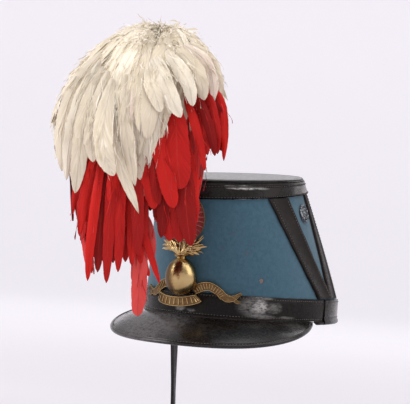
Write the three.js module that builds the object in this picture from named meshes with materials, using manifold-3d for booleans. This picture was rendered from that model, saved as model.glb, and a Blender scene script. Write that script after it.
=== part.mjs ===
// A cavalry shako of sky-blue cloth with patent leather bands, side chevrons and peak, a brass grenade
// badge, a pleated cockade and a falling plume of cock feathers, white over red.
// Units are millimetres. +Z is up, the front is -Y and the wearer's left is +X.
// The origin is the centre of the head opening, on the plane of the wall's lower edge.
import * as THREE from 'three';
import { mergeVertices } from 'three/addons/utils/BufferGeometryUtils.js';
import Module from 'manifold-3d';

const wasm = await Module();
wasm.setup();

// Body of the shako
const baseLength = 200.8;
const baseWidth = 167.8;
const topLength = 156.4;
const topWidth = 118.6;
const topForward = 39;
const frontHeight = 117.6;
const rearHeight = 130.6;
const wallThickness = 2.6;
const clearance = 0.3;
const trimClearance = 0.5;

// Leather
const leather = 1.3;
const frontBandHeight = 20.9;
const rearBandHeight = 18.8;
const topBandFront = 15.8;
const topBandRear = 10.9;
const bandEndAngle = 90;
const rearLeather = 2.2;
const rollDrop = 3.2;
const topLeather = 1.8;
const topDome = 1.6;
const chevronWidth = 20;
const chevronAngle = 97;
const chevronHeadAngle = 22.5;
const chevronFootAngle = 5.4;
const chevronLeather = 1.5;

// Peak
const peakReach = 34.9;
const peakDrop = 23.2;
const peakEndAngle = 84;
const peakLeather = 2.2;
const peakRoot = 1.5;
const peakSlope = 0.62;
const bindingWidth = 3.2;
const bindingThickness = 3.8;

// Side vents
const ventDiameter = 17;
const ventAngle = 98;
const ventDrop = 16;
const ventPlate = 1.2;
const ventHoles = 6;

// Cockade
const cockadeDiameter = 48;
const cockadeHeight = 87;
const cockadeThickness = 4.5;
const cockadePleats = 20;

// Grenade badge and scroll
const ballWidth = 27.5;
const ballHeight = 32.5;
const ballCentre = 35.6;
const ballProud = 10.5;
const flameHeight = 23;
const flameWidth = 50;
const flamePlate = 2.2;
const scrollSpan = 96;
const scrollCentre = 17.5;
const scrollWidth = 8.6;
const scrollPlate = 1.6;
const scrollProud = 6;

// Plume
const plumeForward = 62;
const plumeAside = -13;
const plumeRise = 129;
const plumeLength = 243;
const plumeWidth = 152;
const plumeDepth = 128;
const plumeDome = 95;
const plumeCrestBack = 24;
const lockThickness = 15;
const whiteHeadDepth = 22;
const redHeadDepth = 34;
const stemDiameter = 4;
const stemBow = 8;

// Chin strap
const strapWidth = 10;
const strapThickness = 1.4;
const strapAngle = 96.5;
const strapDrop = 110;

const roundSteps = 60;
const fullTurn = 360;
const turnStep = fullTurn / roundSteps;
const rad = THREE.MathUtils.degToRad;
const mix = THREE.MathUtils.lerp;

// Heights that tilt evenly from the front to the rear
const tilted = (front, rear) => (turn) => (front + rear) / 2 + (front - rear) / 2 * Math.cos(rad(turn));
const bendHeight = tilted(frontBandHeight, rearBandHeight);
const topHeight = tilted(frontHeight, rearHeight);
const topBandHeight = tilted(frontHeight - topBandFront, rearHeight - topBandRear);

// The wall's outer face: turn is the angle from the front towards the wearer's left, and level is 0 at the
// lower edge, 1 where the upright lower stretch ends and 2 at the top edge.
function wallFace(turn, level) {
  const sine = Math.sin(rad(turn));
  const cosine = Math.cos(rad(turn));
  const low = Math.min(level, 1);
  const high = Math.max(level - 1, 0);
  const bottom = new THREE.Vector3(baseWidth / 2 * sine, -baseLength / 2 * cosine, low * bendHeight(turn));
  const top = new THREE.Vector3(topWidth / 2 * sine, -topForward - topLength / 2 * cosine, topHeight(turn));
  return bottom.lerp(top, high);
}

function wallNormal(turn, level) {
  const step = 0.02;
  const along = wallFace(turn + 1, level).sub(wallFace(turn - 1, level));
  const up = wallFace(turn, level + step).sub(wallFace(turn, level - step));
  return along.cross(up).normalize();
}

// The flat plane of the top edge
const topPlane = (y) => mix(frontHeight, rearHeight, (y + topForward) / topLength + 0.5);

function onWall(turn, level, out) {
  const face = wallFace(turn, level);
  const normal = wallNormal(turn, level);
  if (level < 2) return face.addScaledVector(normal, out);
  const flat = normal.x ** 2 + normal.y ** 2;
  face.addScaledVector(normal, out / flat);
  return face.setZ(topPlane(face.y));
}

function levelAt(turn, height) {
  const bend = bendHeight(turn);
  return height < bend ? height / bend : 1 + (height - bend) / (topHeight(turn) - bend);
}

const atHeight = (turn, height, out) => onWall(turn, levelAt(turn, height), out);

// Closed meshes: the vertices of a three.js shape are moved by a function, then merged
function closedForm(geometry, place) {
  const position = geometry.attributes.position;
  const point = new THREE.Vector3();
  for (let i = 0; i < position.count; i += 1) {
    point.fromBufferAttribute(position, i);
    const moved = place(point);
    position.setXYZ(i, moved.x, moved.y, moved.z);
  }
  geometry.deleteAttribute('normal');
  geometry.deleteAttribute('uv');
  geometry.clearGroups();
  const merged = mergeVertices(geometry, 1e-3);
  const index = merged.index.array;
  const kept = [];
  for (let i = 0; i < index.length; i += 3) {
    const [a, b, c] = index.subarray(i, i + 3);
    if (a !== b && b !== c && c !== a) kept.push(a, b, c);
  }
  merged.setIndex(signedVolume(merged.attributes.position, kept) < 0 ? kept.reverse() : kept);
  return merged;
}

function signedVolume(position, index) {
  const [a, b, c] = [new THREE.Vector3(), new THREE.Vector3(), new THREE.Vector3()];
  let volume = 0;
  for (let i = 0; i < index.length; i += 3) {
    a.fromBufferAttribute(position, index[i]);
    b.fromBufferAttribute(position, index[i + 1]);
    c.fromBufferAttribute(position, index[i + 2]);
    volume += a.dot(b.cross(c));
  }
  return volume;
}

// A panel whose place function takes shares: across and along run 0 to 1, and through is 0 inside, 1 outside
function panel(acrossSteps, alongSteps, place) {
  const box = new THREE.BoxGeometry(1, 1, 1, acrossSteps, alongSteps);
  return closedForm(box, (p) => place(p.x + 0.5, p.y + 0.5, p.z + 0.5));
}

// A closed section carried once round the shako: place takes the turn and a section point, which is
// drawn about a circle wide enough to keep it clear of the axis
function hoop(section, place) {
  const circle = baseLength;
  const points = [...section, section[0]].map(([out, up]) => new THREE.Vector2(circle + out, up));
  const lathe = new THREE.LatheGeometry(points, roundSteps);
  return closedForm(lathe, (p) => {
    const turn = Math.round(THREE.MathUtils.radToDeg(Math.atan2(p.x, p.z)) * 1e3) / 1e3;
    return place(turn, Math.hypot(p.x, p.z) - circle, p.y);
  });
}

function turned(profile, segments, place) {
  const points = profile.map(([radius, height]) => new THREE.Vector2(radius, height));
  return closedForm(new THREE.LatheGeometry(points, segments), place);
}

// A closed section carried along, with fans about its middle at both ends
function bar(section, middle, count, place) {
  const tube = new THREE.CylinderGeometry(1, 1, 1, section.length, count);
  return closedForm(tube, (p) => {
    const spoke = Math.round(Math.atan2(p.x, p.z) / (2 * Math.PI) * section.length);
    const corner = section[(spoke + section.length) % section.length];
    const [out, up] = Math.hypot(p.x, p.z) < 0.5 ? middle : corner;
    return place(p.y + 0.5, out, up);
  });
}

function solidOf(geometry) {
  const vertProperties = new Float32Array(geometry.attributes.position.array);
  const triVerts = new Uint32Array(geometry.index.array);
  return new wasm.Manifold(new wasm.Mesh({ numProp: 3, vertProperties, triVerts }));
}

function geometryOf(solid) {
  const mesh = solid.getMesh();
  const geometry = new THREE.BufferGeometry();
  geometry.setAttribute('position', new THREE.BufferAttribute(new Float32Array(mesh.vertProperties), 3));
  geometry.setIndex(new THREE.BufferAttribute(new Uint32Array(mesh.triVerts), 1));
  return geometry;
}

const fuse = (geometries) => geometries.map(solidOf).reduce((sum, solid) => sum.add(solid));
const steps = (count, make) => Array.from({ length: count }, (unused, i) => make(i));

// A frame for rigid trim on the wall: x along the wall, y up it, z out of it
function wallFrame(turn, height, out) {
  const level = levelAt(turn, height);
  const outward = wallNormal(turn, level);
  const across = wallFace(turn + 1, level).sub(wallFace(turn - 1, level)).normalize();
  const upward = new THREE.Vector3().crossVectors(outward, across).normalize();
  const frame = new THREE.Matrix4().makeBasis(across, upward, outward);
  return frame.setPosition(onWall(turn, level, out));
}

function crownBody() {
  const rows = 3;
  const levels = [0, ...steps(rows, (i) => 1 + i / (rows - 1))];
  const outer = levels.map((level) => [0, level]);
  const inner = levels.map((level) => [-wallThickness, level]).reverse();
  return hoop([...outer, ...inner], (turn, out, level) => onWall(turn, level, out));
}

function crownTop() {
  const rim = leather + clearance;
  const rise = clearance;
  const profile = [
    [0, rise + topDome + topLeather], [0.6, rise + 0.7 * topDome + topLeather], [0.97, rise + topLeather],
    [1, rise + 0.6 * topLeather], [1, rise], [0, rise],
  ];
  return turned(profile, roundSteps, (p) => {
    const turn = THREE.MathUtils.radToDeg(Math.atan2(p.x, p.z));
    const share = Math.hypot(p.x, p.z);
    const edge = onWall(turn, 2, rim);
    const centre = new THREE.Vector3(0, -topForward, topPlane(-topForward));
    return centre.lerp(edge, share).add(new THREE.Vector3(0, 0, p.y));
  });
}

function topBand() {
  const section = [[0, 0], [leather, 0], [leather, 1], [0, 1]];
  return hoop(section, (turn, out, share) => {
    const level = mix(levelAt(turn, topBandHeight(turn)), 2, share);
    return onWall(turn, level, clearance + out);
  });
}

function bottomBand() {
  const inset = 0.4;
  return panel(Math.round(2 * bandEndAngle / turnStep), 1, (across, along, through) => {
    const turn = mix(-bandEndAngle, bandEndAngle, across);
    return atHeight(turn, mix(inset, bendHeight(turn), along), clearance + leather * through);
  });
}

// The rear band is heavier leather, with its lower edge rolled under the wall
function rearBand() {
  const start = bandEndAngle + THREE.MathUtils.radToDeg(clearance / (baseLength / 2));
  const roll = rearLeather + 1;
  const section = [
    [0, 1], [rearLeather, 1], [rearLeather, 0.1], [roll, -0.3], [roll * 0.6, -0.95],
    [-roll * 0.3, -0.85], [-roll * 0.4, -0.35], [0, -0.1],
  ];
  const count = Math.round((fullTurn - 2 * bandEndAngle) / turnStep);
  return bar(section, [rearLeather / 2, 0], count, (share, out, up) => {
    const turn = mix(start, fullTurn - start, share);
    return onWall(turn, 0, clearance + out).setZ(up * (up < 0 ? rollDrop : bendHeight(turn)));
  });
}

// The chevron's arms lean apart from a shared foot on the lower band and end under the upper band
function chevron(side) {
  const arm = (lean) => {
    const turnFoot = chevronAngle + lean * chevronFootAngle;
    const turnHead = chevronAngle + lean * chevronHeadAngle;
    const foot = bendHeight(chevronAngle) + 2 * clearance;
    const head = topBandHeight(turnHead) - 2 * clearance;
    const rise = Math.atan2(head - foot, atHeight(turnFoot, foot, 0).distanceTo(atHeight(turnHead, foot, 0)));
    return panel(2, 8, (across, along, through) => {
      const turn = mix(turnFoot, turnHead, along);
      const girth = wallFace(turn + 1, 1 + along).distanceTo(wallFace(turn - 1, 1 + along)) / 2;
      const half = chevronWidth / 2 / girth / Math.sin(rise);
      const here = turn + mix(-half, half, across);
      const height = mix(foot, head + topBandHeight(here) - topBandHeight(turnHead), along);
      return atHeight(side * here, height, trimClearance + chevronLeather * through);
    });
  };
  return geometryOf(fuse([arm(-1), arm(1)]));
}

// The peak's edge: reach and drop shrink from the front to where it meets the band
function peakEdge(turn) {
  const share = Math.min(Math.abs(turn) / peakEndAngle, 1);
  return {
    reach: peakReach * (1 - share ** 5.4) ** 1.83,
    drop: peakDrop * (1 - share ** 3.46) ** 2.2,
  };
}

// The peak's upper face, out from the wall's lower edge: peakSlope is the share of its drop that runs
// straight, and the rest steepens towards the edge
function peakFace(turn, out) {
  const edge = peakEdge(turn);
  const share = Math.max(out, 0) / Math.max(edge.reach, leather);
  const sag = edge.drop * mix(share * share, share, peakSlope);
  return onWall(turn, 0, out).setZ(-clearance - sag);
}

function onPeak(turn, out, lift) {
  const step = 0.5;
  const along = peakFace(turn + step, out).sub(peakFace(turn - step, out));
  const outward = peakFace(turn, out + step).sub(peakFace(turn, out - step));
  return peakFace(turn, out).addScaledVector(outward.cross(along).normalize(), lift);
}

const peakStep = 5;
const peakTurn = peakEndAngle - 4;

function peak() {
  const trim = bindingWidth + clearance;
  return panel(Math.round(2 * peakTurn / peakStep), 3, (across, along, through) => {
    const turn = mix(-peakTurn, peakTurn, across);
    const out = mix(-peakRoot, Math.max(peakEdge(turn).reach - trim, leather), along);
    return onPeak(turn, out, -peakLeather * (1 - through));
  });
}

// The binding runs along the peak's edge and ends where the peak goes in under the wall
function peakBinding() {
  const end = peakTurn - peakStep;
  const half = bindingThickness / 2;
  const section = [
    [0, half], [0.6, half], [1, 0.4 * half], [1, -0.4 * half], [0.6, -half], [0, -half],
  ];
  return bar(section, [0.5, 0], Math.round(2 * end / peakStep), (share, depth, up) => {
    const turn = mix(-end, end, share);
    return onPeak(turn, peakEdge(turn).reach - bindingWidth * (1 - depth), up - peakLeather / 2);
  });
}

function vent(side) {
  const radius = ventDiameter / 2;
  const profile = [
    [0, 0], [radius, 0], [radius, ventPlate * 0.6], [radius * 0.82, ventPlate * 1.5],
    [radius * 0.7, ventPlate * 0.8], [0, ventPlate * 1.3],
  ];
  const height = topBandHeight(ventAngle) - ventDrop;
  const frame = wallFrame(side * ventAngle, height, clearance + trimClearance);
  const lay = new THREE.Matrix4().makeRotationX(Math.PI / 2);
  frame.multiply(lay);
  const plate = solidOf(turned(profile, 14, (p) => p.clone().applyMatrix4(frame)));
  const hole = (i) => {
    const turn = i / ventHoles * 2 * Math.PI;
    const size = radius * 0.15;
    const drill = new THREE.CylinderGeometry(size, size, ventPlate * 8, 5);
    const middle = new THREE.Vector3(Math.cos(turn), 0, Math.sin(turn)).multiplyScalar(radius * 0.47);
    return solidOf(closedForm(drill, (p) => p.clone().add(middle).applyMatrix4(frame)));
  };
  return geometryOf(steps(ventHoles, hole).reduce((solid, cut) => solid.subtract(cut), plate));
}

const stemOut = leather + 2 * clearance + stemDiameter / 2;

// Radial pleats between a turned-over rim and a small boss
function cockade() {
  const radius = cockadeDiameter / 2;
  const depth = cockadeThickness;
  const profile = [
    [0, 0], [radius * 0.92, 0], [radius, depth * 0.4], [radius * 0.94, depth * 0.75],
    [radius * 0.3, depth * 0.8], [radius * 0.16, depth], [0, depth],
  ];
  const frame = wallFrame(0, cockadeHeight, stemOut + stemDiameter / 2 + clearance);
  const lay = new THREE.Matrix4().makeRotationX(Math.PI / 2);
  frame.multiply(lay);
  return turned(profile, 2 * cockadePleats, (p) => {
    const share = Math.hypot(p.x, p.z) / radius;
    const pleat = Math.round(Math.atan2(p.x, p.z) / Math.PI * cockadePleats);
    const dip = p.y > depth * 0.5 && share > 0.25 && pleat % 2 ? depth * 0.24 : 0;
    return new THREE.Vector3(p.x, p.y - dip, p.z).applyMatrix4(frame);
  });
}

const badgeBack = leather + 2 * clearance;
const frontGirth = rad(1) * baseWidth / 2;

function grenadeBall() {
  const frame = wallFrame(0, ballCentre, 0);
  const rings = 8;
  const profile = steps(rings + 1, (i) => {
    const angle = i / rings * Math.PI;
    const swell = 1 + 0.07 * Math.cos(angle);
    return [Math.sin(angle) * ballWidth / 2 * swell, -Math.cos(angle) * ballHeight / 2];
  });
  profile[0][0] = 0;
  profile[rings][0] = 0;
  return turned(profile, 12, (p) => {
    const out = Math.max(p.z + ballProud, badgeBack);
    return new THREE.Vector3(p.x, p.y, out).applyMatrix4(frame);
  });
}

function grenadeCollar() {
  const frame = wallFrame(0, ballCentre + ballHeight / 2, 0);
  const collar = ballWidth * 0.17;
  const profile = [[0, -3], [collar, -3], [collar * 0.8, 0.2], [collar * 1.15, 1.6], [collar, 3], [0, 3]];
  return turned(profile, 8, (p) => {
    return new THREE.Vector3(p.x, p.y, Math.max(p.z + ballProud * 0.62, badgeBack)).applyMatrix4(frame);
  });
}

// Each tongue leaves the collar and curls over: lean and curl turn it, in degrees
const flameTongues = [
  { lean: -78, curl: 62, reach: 0.98, width: 0.15 },
  { lean: -56, curl: -58, reach: 0.92, width: 0.17 },
  { lean: -34, curl: 40, reach: 0.98, width: 0.17 },
  { lean: -12, curl: -34, reach: 1.0, width: 0.18 },
  { lean: 12, curl: 34, reach: 1.0, width: 0.18 },
  { lean: 34, curl: -40, reach: 0.98, width: 0.17 },
  { lean: 56, curl: 58, reach: 0.92, width: 0.17 },
  { lean: 78, curl: -62, reach: 0.98, width: 0.15 },
];

function flame() {
  const foot = ballCentre + ballHeight / 2 + 1.5;
  return flameTongues.map(({ lean, curl, reach, width }) => {
    const length = reach * mix(flameHeight, flameWidth / 2, Math.abs(lean) / 90);
    return panel(1, 4, (across, along, through) => {
      const angle = rad(lean + curl * (along - 0.35));
      const half = width * flameWidth / 2 * Math.sin(Math.PI * (0.2 + 0.72 * along));
      const side = mix(-half, half, across);
      const x = length * along * Math.sin(angle) + side * Math.cos(angle);
      const y = length * along * Math.cos(angle) - side * Math.sin(angle) + 1.5;
      const out = badgeBack + flamePlate * through * (1.5 - 0.7 * along);
      return atHeight(x / frontGirth, foot + y, out);
    });
  });
}

// The scroll's ribbon, as runs of sections: x and y are shares of its half span and of its width
const scrollRuns = [
  { proud: 1, rows: [
    { x: -0.33, y: 0.3, w: 0.9 }, { x: -0.2, y: -0.5, w: 1 }, { x: 0, y: -0.8, w: 1 },
    { x: 0.2, y: -0.5, w: 1 }, { x: 0.33, y: 0.3, w: 0.9 },
  ] },
  { proud: 0, mirror: true, rows: [
    { x: 0.16, y: 0.5, w: 0.9 }, { x: 0.3, y: 0.98, w: 0.9 }, { x: 0.46, y: 1.12, w: 0.9 },
    { x: 0.6, y: 0.7, w: 0.9 }, { x: 0.7, y: 0.1, w: 0.85 }, { x: 0.82, y: -0.02, w: 0.7 },
    { x: 1, y: 0.55, w: 0.3 },
  ] },
  { proud: 0, mirror: true, rows: [
    { x: 0.74, y: 0, w: 0.6 }, { x: 0.86, y: -0.06, w: 0.5 }, { x: 0.96, y: -0.42, w: 0.2 },
  ] },
];

function scrollRun({ proud, rows }, side) {
  const curve = new THREE.CatmullRomCurve3(rows.map(({ x, y, w }) => new THREE.Vector3(x, y, w)));
  const half = scrollSpan / 2;
  return panel(1, 2 * (rows.length - 1), (across, along, through) => {
    const at = curve.getPoint(along);
    const ahead = curve.getPoint(Math.min(along + 0.01, 1)).sub(curve.getPoint(Math.max(along - 0.01, 0)));
    const run = new THREE.Vector2(ahead.x * half, ahead.y * scrollWidth).normalize();
    const offset = mix(-0.5, 0.5, across) * at.z * scrollWidth;
    const x = at.x * half - run.y * offset;
    const y = at.y * scrollWidth + run.x * offset;
    const bulge = proud * scrollProud * Math.sin(Math.PI * along);
    const outer = badgeBack + bulge + scrollPlate;
    const out = through ? outer : badgeBack;
    return atHeight(side * x / frontGirth, scrollCentre + y, out);
  });
}

function badge() {
  const scroll = scrollRuns.flatMap((run) => (run.mirror ? [1, -1] : [1]).map((side) => scrollRun(run, side)));
  return geometryOf(fuse([grenadeBall(), grenadeCollar(), ...flame(), ...scroll]));
}

const plumeCentre = new THREE.Vector3(plumeAside, -topForward - topLength / 2 - plumeForward, 0);
const plumeTop = frontHeight + plumeRise;

// The post runs up behind the cockade, leans forward over the top edge and ends inside the plume's head
function stemCurve() {
  const foot = atHeight(0, cockadeHeight - cockadeDiameter * 0.3, stemOut);
  const edge = atHeight(0, frontHeight, stemOut);
  const head = plumePoint(0, 0, plumeTop - 0.12 * plumeLength, 1);
  const above = edge.clone().lerp(head, 0.3).add(new THREE.Vector3(0, stemBow, 0.75 * stemBow));
  return new THREE.CatmullRomCurve3([foot, foot.clone().lerp(edge, 0.5), edge, above, head]);
}

function stem(extra) {
  const sides = 8;
  const curve = stemCurve();
  const frames = 10;
  const rod = new THREE.CylinderGeometry(1, 1, 1, sides, frames);
  const radius = stemDiameter / 2 + extra;
  return closedForm(rod, (p) => {
    const share = p.y + 0.5;
    const forward = curve.getTangentAt(share);
    const across = new THREE.Vector3(1, 0, 0).addScaledVector(forward, -forward.x).normalize();
    const behind = new THREE.Vector3().crossVectors(across, forward);
    const point = curve.getPointAt(share).addScaledVector(forward, (share * 2 - 1) * extra);
    return point.addScaledVector(across, p.x * radius).addScaledVector(behind, p.z * radius);
  });
}

// Locks fall over the plume's dome: turn as on the wall, reach of its half width, tip inside that reach,
// and fall as a share of the plume's length
const whiteLocks = [
  { turn: -166, reach: 0.86, tip: 0.8, fall: 0.38 },
  { turn: -134, reach: 0.92, tip: 0.8, fall: 0.5 },
  { turn: -104, reach: 0.95, tip: 0.76, fall: 0.58 },
  { turn: -78, reach: 0.96, tip: 0.7, fall: 0.6 },
  { turn: -52, reach: 0.96, tip: 0.68, fall: 0.62 },
  { turn: -24, reach: 0.95, tip: 0.7, fall: 0.52 },
  { turn: 6, reach: 0.95, tip: 0.72, fall: 0.56 },
  { turn: 34, reach: 0.95, tip: 0.72, fall: 0.67 },
  { turn: 62, reach: 0.95, tip: 0.88, fall: 0.35 },
  { turn: 92, reach: 0.96, tip: 0.93, fall: 0.32 },
  { turn: 122, reach: 0.97, tip: 0.95, fall: 0.3 },
  { turn: 158, reach: 0.88, tip: 0.84, fall: 0.32 },
];
const redLocks = [
  { turn: -160, reach: 0.6, tip: 0.5, fall: 0.7 },
  { turn: -126, reach: 0.66, tip: 0.54, fall: 0.8 },
  { turn: -94, reach: 0.72, tip: 0.54, fall: 0.86 },
  { turn: -64, reach: 0.74, tip: 0.52, fall: 0.9 },
  { turn: -36, reach: 0.7, tip: 0.54, fall: 0.89 },
  { turn: -8, reach: 0.7, tip: 0.56, fall: 0.88 },
  { turn: 20, reach: 0.66, tip: 0.6, fall: 0.85 },
  { turn: 66, reach: 0.5, tip: 0.26, fall: 1 },
  { turn: 84, reach: 0.6, tip: 0.42, fall: 0.92 },
  { turn: 60, reach: 0.8, tip: 0.72, fall: 0.72 },
  { turn: 88, reach: 0.84, tip: 0.78, fall: 0.72 },
  { turn: 110, reach: 0.9, tip: 1.04, fall: 0.54 },
  { turn: 134, reach: 0.88, tip: 1.06, fall: 0.44 },
  { turn: 164, reach: 0.6, tip: 0.5, fall: 0.6 },
];

// A point round the plume: lean is 1 at its crest, which lies back towards the cap, and 0 at its widest
function plumePoint(turn, reach, height, lean = 0) {
  const x = plumeCentre.x + Math.sin(rad(turn)) * reach * plumeWidth / 2;
  const y = plumeCentre.y - Math.cos(rad(turn)) * reach * plumeDepth / 2 + lean * plumeCrestBack;
  return new THREE.Vector3(x, y, height);
}

function lockCurve({ turn, reach, tip, fall }, crest) {
  const shoulder = crest - plumeDome;
  const onDome = (angle) => {
    const rise = Math.cos(rad(angle));
    return plumePoint(turn, reach * Math.sin(rad(angle)), shoulder + plumeDome * rise, rise ** 2);
  };
  const end = plumeTop - fall * plumeLength;
  const last = Math.min(90, THREE.MathUtils.radToDeg(Math.acos(Math.max((end - shoulder) / plumeDome, 0))));
  const dome = [0.14, 0.42, 0.7, 0.94].map((share) => onDome(share * last));
  const middle = plumePoint(turn, mix(reach, tip, 0.4), mix(Math.min(shoulder, dome[3].z), end, 0.5));
  return new THREE.CatmullRomCurve3([...dome, middle, plumePoint(turn, tip, end)]);
}

// Each lock is a flattened spindle along its curve, with its poles at the root and the tip
function lock(row, crest, width, thickness, extra) {
  const curve = lockCurve(row, crest);
  const spindle = new THREE.SphereGeometry(1, 5, 6);
  const outward = new THREE.Vector3(Math.sin(rad(row.turn)), -Math.cos(rad(row.turn)), 0);
  return closedForm(spindle, (p) => {
    const share = Math.acos(THREE.MathUtils.clamp(p.y, -1, 1)) / Math.PI;
    const girth = Math.sin(Math.PI * share) ** 0.55;
    const spoke = share > 0.001 && share < 0.999 ? Math.atan2(p.x, p.z) : 0;
    const forward = curve.getTangentAt(share);
    const across = new THREE.Vector3(Math.cos(rad(row.turn)), Math.sin(rad(row.turn)), 0);
    const out = outward.clone().addScaledVector(forward, -outward.dot(forward));
    if (out.length() < 0.2) out.setZ(1);
    out.normalize();
    const taper = 1 - 0.35 * share;
    const side = Math.sin(spoke) * girth * (width / 2 * taper + extra);
    const depth = Math.cos(spoke) * girth * (thickness / 2 * taper + extra);
    const ends = share < 0.001 ? -extra : share > 0.999 ? extra : 0;
    return curve.getPointAt(share).addScaledVector(across, side)
      .addScaledVector(out, depth).addScaledVector(forward, ends);
  });
}

function head(reach, crest, depth, extra) {
  const dome = new THREE.SphereGeometry(1, 12, 6);
  return closedForm(dome, (p) => {
    const centre = plumePoint(0, 0, crest - depth, 1);
    const size = new THREE.Vector3(reach * plumeWidth / 2, reach * plumeDepth / 2, depth).addScalar(extra);
    return centre.add(new THREE.Vector3(p.x, p.z, p.y).multiply(size));
  });
}

function feathers(rows, crest, reach, depth, extra) {
  const width = plumeWidth * 0.3;
  return fuse([
    head(reach, crest, depth, extra),
    ...rows.map((row) => lock(row, crest, width, lockThickness, extra)),
  ]);
}

const whiteFeathers = (extra) => feathers(whiteLocks, plumeTop, 0.5, whiteHeadDepth, extra);
const redCrest = plumeTop - lockThickness * 1.6;
const redFeathers = () => feathers(redLocks, redCrest, 0.52, redHeadDepth, 0);

function whitePlume() {
  return geometryOf(whiteFeathers(0).subtract(solidOf(stem(clearance))));
}

function redPlume() {
  const over = [whiteFeathers(0), whiteFeathers(clearance), solidOf(stem(clearance))];
  const under = over.reduce((solid, cut) => solid.subtract(cut), redFeathers());
  const bodies = under.decompose().sort((a, b) => b.volume() - a.volume());
  return geometryOf(bodies[0]);
}

// The strap's way. Height is a share of strapDrop below the wall's edge and of the lower band above it.
// Inset from the wall's inner face is in thicknesses of the strap. Twist is about the upright, and lay is
// 0 where the strap's width runs along the wall and 90 where it stands upright
const strapRoute = [
  { turn: -1, height: 0.72, inset: 0, twist: 0, lay: 0 },
  { turn: -1, height: 0, inset: 0.2, twist: 0, lay: 0 },
  { turn: -1, height: -0.3, inset: 1.7, twist: 8, lay: 0 },
  { turn: -1, height: -0.68, inset: 3.6, twist: 24, lay: 0 },
  { turn: -1, height: -0.92, inset: 4.6, twist: 26, lay: 0 },
  { turn: -1, height: -0.985, inset: 4.6, twist: 26, lay: 0 },
  { turn: -1, height: -1, inset: 6, twist: 26, lay: 0 },
  { turn: -1, height: -0.985, inset: 7.4, twist: 26, lay: 0 },
  { turn: -1, height: -0.92, inset: 6.3, twist: 26, lay: 0 },
  { turn: -1, height: -0.68, inset: 5, twist: 24, lay: 0 },
  { turn: -1, height: -0.3, inset: 3.1, twist: 8, lay: 0 },
  { turn: -1, height: -0.036, inset: 1.7, twist: 0, lay: 0 },
  { turn: -0.97, height: 0.34, inset: 1.65, twist: 0, lay: 25 },
  { turn: -0.89, height: 0.67, inset: 1.65, twist: 0, lay: 65 },
  { turn: -0.74, height: 0.77, inset: 1, twist: 0, lay: 90 },
  { turn: -0.5, height: 0.77, inset: 0.2, twist: 0, lay: 90 },
  { turn: -0.25, height: 0.77, inset: 0.2, twist: 0, lay: 90 },
  { turn: 0, height: 0.77, inset: 0.2, twist: 0, lay: 90 },
  { turn: 0.25, height: 0.77, inset: 0.2, twist: 0, lay: 90 },
  { turn: 0.5, height: 0.77, inset: 0.2, twist: 0, lay: 90 },
  { turn: 0.75, height: 0.77, inset: 0.2, twist: 0, lay: 90 },
  { turn: 1, height: 0.72, inset: 0.2, twist: 0, lay: 90 },
];

function chinStrap() {
  const inside = wallThickness + clearance + strapThickness / 2;
  const upright = new THREE.Vector3(0, 0, 1);
  const rows = strapRoute.map(({ turn, height, inset, twist, lay }) => {
    const angle = turn * strapAngle;
    const point = onWall(angle, 0, -inside - inset * strapThickness)
      .setZ(height * (height < 0 ? strapDrop : frontBandHeight));
    const along = wallFace(angle + 1, 0).sub(wallFace(angle - 1, 0)).normalize();
    const width = along.applyAxisAngle(upright, rad(twist))
      .multiplyScalar(Math.cos(rad(lay))).setZ(Math.sin(rad(lay)));
    return { point, width };
  });
  const centre = new THREE.CatmullRomCurve3(rows.map((row) => row.point));
  const sideways = new THREE.CatmullRomCurve3(rows.map((row) => row.width));
  const sections = 60;
  return panel(1, sections, (across, along, through) => {
    const share = centre.getUtoTmapping(along);
    const forward = centre.getTangent(share);
    const width = sideways.getPoint(share);
    width.addScaledVector(forward, -width.dot(forward)).normalize();
    const face = new THREE.Vector3().crossVectors(width, forward);
    return centre.getPoint(share).addScaledVector(width, (across - 0.5) * strapWidth)
      .addScaledVector(face, (through - 0.5) * strapThickness);
  });
}

const shako = new THREE.Group();

function add(name, geometry, color, roughness, metalness = 0) {
  const material = new THREE.MeshStandardMaterial({ color, roughness, metalness });
  const mesh = new THREE.Mesh(geometry, material);
  mesh.name = name;
  shako.add(mesh);
}

const cloth = '#486475';
const black = '#2f2b28';
const brass = '#9c8253';
add('crown_body', crownBody(), cloth, 0.95);
add('crown_top', crownTop(), black, 0.4);
add('top_band', topBand(), black, 0.35);
add('bottom_band', bottomBand(), black, 0.3);
add('rear_band', rearBand(), black, 0.35);
add('peak', peak(), black, 0.3);
add('peak_binding', peakBinding(), black, 0.3);
add('chevron_left', chevron(1), black, 0.4);
add('chevron_right', chevron(-1), black, 0.4);
add('vent_left', vent(1), '#3c4247', 0.5, 0.8);
add('vent_right', vent(-1), '#3c4247', 0.5, 0.8);
add('cockade', cockade(), '#a3231f', 0.7);
add('badge', badge(), brass, 0.3, 1);
add('plume_stem', geometryOf(solidOf(stem(0))), '#5a5148', 0.6);
add('plume_white', whitePlume(), '#f0dcc4', 0.8);
add('plume_red', redPlume(), '#b22a26', 0.8);
add('chin_strap', chinStrap(), black, 0.5);

export default shako;
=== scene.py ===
# A plumed cavalry shako: cloth body, patent leather bands and peak, brass grenade, cockade and feathers
import math
import random

import bmesh
import bpy
from mathutils import Matrix, Vector, noise


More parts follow.
